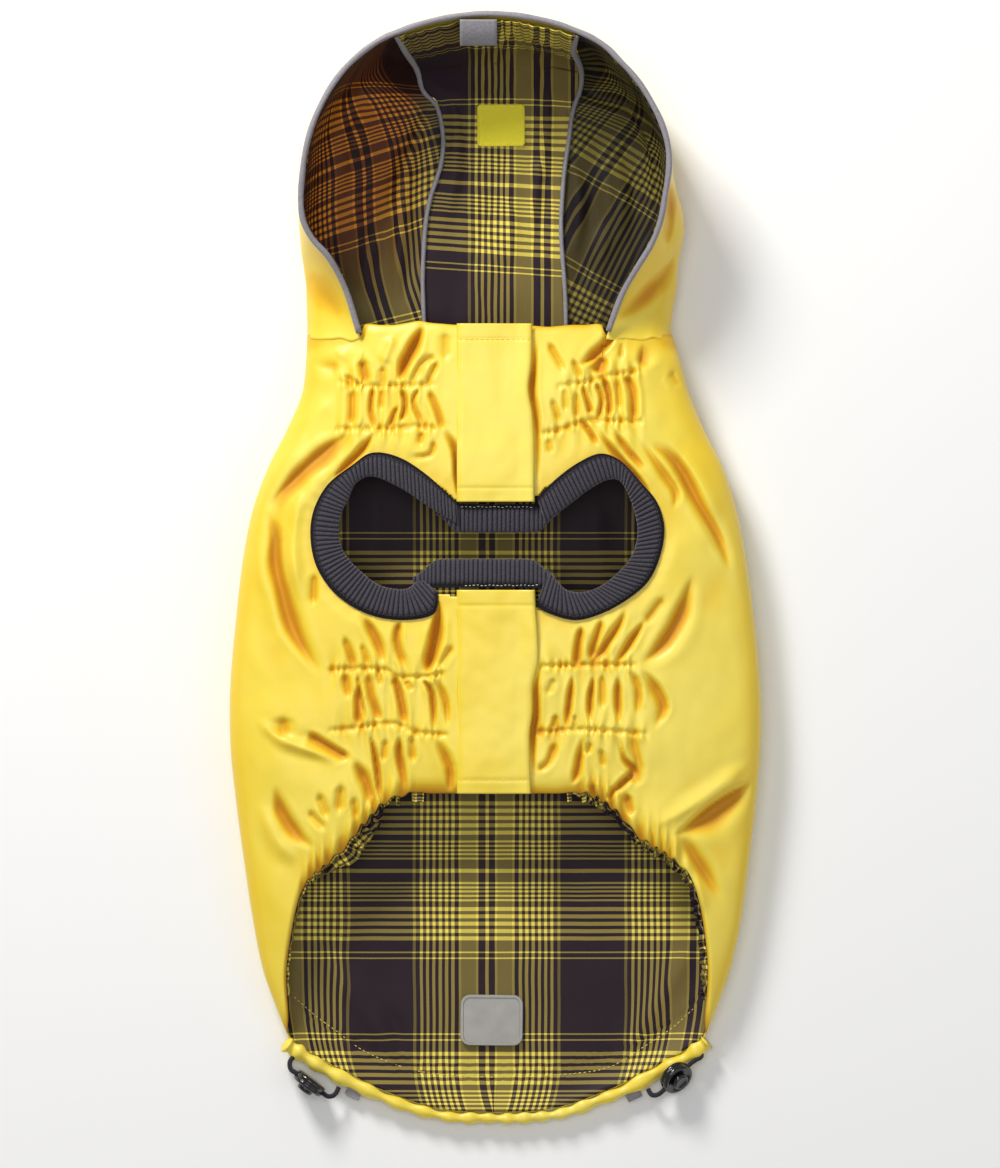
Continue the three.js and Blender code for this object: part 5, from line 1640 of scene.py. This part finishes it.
def makeLock(plan):
    for part, profile, node in (("Barrel", lockProfile, "lock_"), ("Plunger", plungerProfile, "plunger_")):
        name = "lock" + part + plan["name"]
        piece = turnedProfile(name, profile, plan["centre"], plan["axis"], looks["plastic"])
        finish(piece, "gloss_plastic", node + plan["name"].lower())
    path = smoothPath([Vector(p) for p in plan["cord"]], 5)
    curve = bpy.data.curves.new("drawcord" + plan["name"], "CURVE")
    curve.dimensions = "3D"
    curve.bevel_depth = lockSet["cord"] / 2000
    curve.bevel_resolution = 4
    curve.use_fill_caps = True
    line = curve.splines.new("POLY")
    line.points.add(len(path) - 1)
    for i, p in enumerate(path):
        line.points[i].co = (*toRow(*p), 1)
    cord = bpy.data.objects.new("drawcord" + plan["name"], curve)
    bpy.context.collection.objects.link(cord)
    curve.materials.append(looks["elastic"])
    finish(cord, "elastic", "cord_" + plan["name"].lower())
    tuple(toRow(*plan["cord"][0]))


for lock in lockPlan:
    makeLock(lock)

lockTabs = [
    {"name": "Left", "x": -72.9, "y": -268.8, "turn": -0.45},
    {"name": "Right", "x": 70.8, "y": -269.7, "turn": 0.45},
]
lockTabSet = {"wide": 8, "long": 5, "corner": 0.7, "thick": 1.2, "rim": 0.5, "z": 4.4}
for tab in lockTabs:
    place = (tab["x"], tab["y"], lockTabSet["z"])
    piece = roundedPlate("tapeTab" + tab["name"], place, lockTabSet, looks["tape"], tab["turn"])
    finish(piece, "grey_tape", "tape_tab_" + tab["name"].lower())
print("tail fittings ready")

# Stitching.

stitchSet = {"long": 1.7, "pitch": 2.5, "thick": 0.42, "shortest": 0.85, "longest": 1.12}


def makeStitchTree():
    tree = bpy.data.node_groups.new("stitchRow", "GeometryNodeTree")
    face = tree.interface
    face.new_socket(name="Line", in_out="INPUT", socket_type="NodeSocketGeometry")
    for name in ("Pitch", "Stitch length", "Thread thickness"):
        face.new_socket(name=name, in_out="INPUT", socket_type="NodeSocketFloat")
    face.new_socket(name="Thread", in_out="INPUT", socket_type="NodeSocketMaterial")
    face.new_socket(name="Stitches", in_out="OUTPUT", socket_type="NodeSocketGeometry")
    start, end = tree.nodes.new("NodeGroupInput"), tree.nodes.new("NodeGroupOutput")
    curve = tree.nodes.new("GeometryNodeMeshToCurve")
    even = tree.nodes.new("GeometryNodeResampleCurve")
    even.mode = "LENGTH"
    tangent = tree.nodes.new("GeometryNodeInputTangent")
    turn = tree.nodes.new("FunctionNodeAlignRotationToVector")
    turn.axis = "X"
    bead = tree.nodes.new("GeometryNodeMeshUVSphere")
    for entry, value in (("Segments", 8), ("Rings", 5), ("Radius", 0.5)):
        bead.inputs[entry].default_value = value
    size = tree.nodes.new("ShaderNodeCombineXYZ")
    place = tree.nodes.new("GeometryNodeInstanceOnPoints")
    jitter = tree.nodes.new("FunctionNodeRandomValue")
    for entry, value in ((2, stitchSet["shortest"]), (3, stitchSet["longest"]), ("Seed", 4)):
        jitter.inputs[entry].default_value = value
    scaled = tree.nodes.new("ShaderNodeVectorMath")
    scaled.operation = "SCALE"
    real = tree.nodes.new("GeometryNodeRealizeInstances")
    paint = tree.nodes.new("GeometryNodeSetMaterial")
    links = [
        (start, "Line", curve, "Mesh"), (curve, "Curve", even, "Curve"), (start, "Pitch", even, "Length"),
        (even, "Curve", place, "Points"), (bead, "Mesh", place, "Instance"),
        (tangent, "Tangent", turn, "Vector"), (turn, "Rotation", place, "Rotation"),
        (start, "Stitch length", size, "X"), (start, "Thread thickness", size, "Y"),
        (start, "Thread thickness", size, "Z"), (size, "Vector", scaled, 0), (jitter, 1, scaled, "Scale"),
        (scaled, "Vector", place, "Scale"), (place, "Instances", real, "Geometry"),
        (real, "Geometry", paint, "Geometry"), (start, "Thread", paint, "Material"),
        (paint, "Geometry", end, "Stitches"),
    ]
    for source, output, target, entry in links:
        tree.links.new(source.outputs[output], target.inputs[entry])
    return tree


stitchTree = makeStitchTree()


def makeStitches(name, path, material, slotName, pitch=1.0):
    mesh = bpy.data.meshes.new(name)
    mesh.from_pydata([tuple(toRow(*p)) for p in path], [(i, i + 1) for i in range(len(path) - 1)], [])
    carrier = bpy.data.objects.new(name + "Line", mesh)
    bpy.context.collection.objects.link(carrier)
    modifier = carrier.modifiers.new("stitches", "NODES")
    modifier.node_group = stitchTree
    values = {
        "Pitch": stitchSet["pitch"] * pitch / 1000, "Stitch length": stitchSet["long"] * pitch / 1000,
        "Thread thickness": stitchSet["thick"] / 1000, "Thread": material,
    }
    for item in stitchTree.interface.items_tree:
        if item.name in values:
            modifier[item.identifier] = values[item.name]
    bpy.context.view_layer.update()
    ready = carrier.evaluated_get(bpy.context.evaluated_depsgraph_get())
    made = bpy.data.meshes.new_from_object(ready)
    made.polygons.foreach_set("use_smooth", [True] * len(made.polygons))
    piece = bpy.data.objects.new(name, made)
    bpy.context.collection.objects.link(piece)
    bpy.data.objects.remove(carrier)
    return finish(piece, slotName)


def onGrid(grid, x, y, above):
    best = min((p for line in grid for p in line), key=lambda p: (p.x - x) ** 2 + (p.y - y) ** 2)
    return Vector((x, y, best.z + above))


hemStitchLine = [
    (-102.8, -220), (-92, -229.5), (-81.3, -237.4), (-67.1, -247.6), (-45.1, -256.3), (-23.2, -259.8),
    (4.8, -260.9), (29.8, -259.8), (56.4, -256.3), (74, -246.5), (90, -236), (101, -226),
]


def makeStitching():
    for name, grid, y in (("Upper", upperPlacket, 116.6), ("Lower", lowerPlacket, -107.3)):
        path = [onGrid(grid, -17.4 + 34 * i / 16, y, 0.95) for i in range(17)]
        makeStitches("placketStitch" + name, path, looks["threadYellow"], "shell_cloth")
    for name, x1, x2, y in (("Top", -17, 18, 31.3), ("Bottom", -15, 21, -8.6)):
        path = []
        for i in range(13):
            x = lerp(x1, x2, i / 12)
            high = bellyHigh(x, y) + ribSet["proud"] - ribSet["bridgeDrop"] + ribSet["thick"] / 2 - 0.3
            path.append(Vector((x, y + 0.3 * math.sin(x * 1.3), high)))
        makeStitches("bridgeStitch" + name, path, looks["threadPale"], "rib_knit", 0.8)
    flat = [Vector((x, y, 0)) for x, y in hemStitchLine]
    top = backSet["wall"] + backSet["liningGap"] + backSet["liningWall"] + 0.12
    path = [onGrid(backLiningGrid, p.x, p.y, top) for p in smoothPath(flat, 5)]
    makeStitches("hemStitch", path, looks["threadYellow"], "check_lining")
    for name, table in (("Left", leftRib), ("Right", rightRib)):
        path = []
        for outer, inner in lobeStations(table)[4:-4:3]:
            p = outer.lerp(inner, 0.13)
            path.append(p + Vector((0, 0, ribSet["thick"] / 2 * 0.55)))
        makeStitches("ribStitch" + name, path, looks["threadDark"], "rib_knit", 0.8)


makeStitching()
print("stitching ready")

# Belly lining where it shows past the hem of the flaps.

frillSet = {
    "from": 36, "to": 112, "low": -221, "steps": 300, "floor": 3.2, "wall": 0.35,
    "under": 5.0, "fullness": 1.15, "pitch": 4.6, "wave": 1.5, "down": 2.2, "rows": 12,
    "left": tableOf("reach out", [
        (36, 0.4), (56, 1.2), (66, 6.5), (78, 8.0), (88, 4.0), (98, 1.6), (134, 1.4),
    ]),
    "right": tableOf("reach out", [
        (36, 0.4), (48, 2.6), (62, 3.6), (80, 2.4), (92, 3.8), (104, 3.4), (134, 2.2),
    ]),
}


def makeFrill(name, bellyPanel, side, outs):
    near, far, low = frillSet["from"], frillSet["to"], frillSet["low"]
    edge = [p for p in bellyPanel[-1] if near < abs(p.x) < far and p.y > low]
    edge = resample(edge, frillSet["steps"])
    last = frillSet["steps"] - 1
    grid, uvs, spent = [], [], 0.0
    for i, p in enumerate(edge):
        along = (edge[min(i + 4, last)] - edge[max(i - 4, 0)]).normalized()
        outward = Vector((along.y, -along.x, 0)).normalized()
        if outward.x * side > 0:
            outward = -outward
        if i:
            spent += (p - edge[i - 1]).length
        out = readAt(outs, "reach", "out", abs(p.x))
        strong = clamp(out / 4)
        phase = spent * 6.283 / frillSet["pitch"] + 1.7 * math.sin(spent * 0.19) + side
        line, uvLine = [], []
        for k in range(frillSet["rows"]):
            share = k / (frillSet["rows"] - 1)
            away = lerp(-frillSet["under"], out, share)
            fray = ease((share - 0.35) / 0.5)
            q = p + outward * (away + 0.8 * strong * fray * math.sin(phase * 0.53 + 1))
            q = q + along * (1.1 * strong * fray * math.sin(phase * 1.31 + share * 3))
            drop = frillSet["down"] + 2.6 * strong * share * share
            roof = min(p.z, bellySurface(q.x, q.y, side)) if away < 1 else p.z
            ripple = frillSet["wave"] * strong * fray * math.sin(phase + 2.2 * share)
            q.z = max(roof - drop + ripple, frillSet["floor"])
            line.append(q)
            uvLine.append(((spent * 1.25) / 1000, (away * 1.3 + 14) / 1000))
        grid.append(line)
        uvs.append(uvLine)
    piece = clothWall(name, grid, Vector((0, -150, -400)), 0, frillSet["wall"], looks["check"], uvs)
    finish(piece, "check_lining")
    cut = cutOf(grid, frillSet["fullness"], None, None, True)
    declareSheet(piece, cut, ["belly_left" if side < 0 else "belly_right"])


makeFrill("bellyLiningLeft", leftBelly, -1, frillSet["left"])
makeFrill("bellyLiningRight", rightBelly, 1, frillSet["right"])
print("belly lining edges ready")
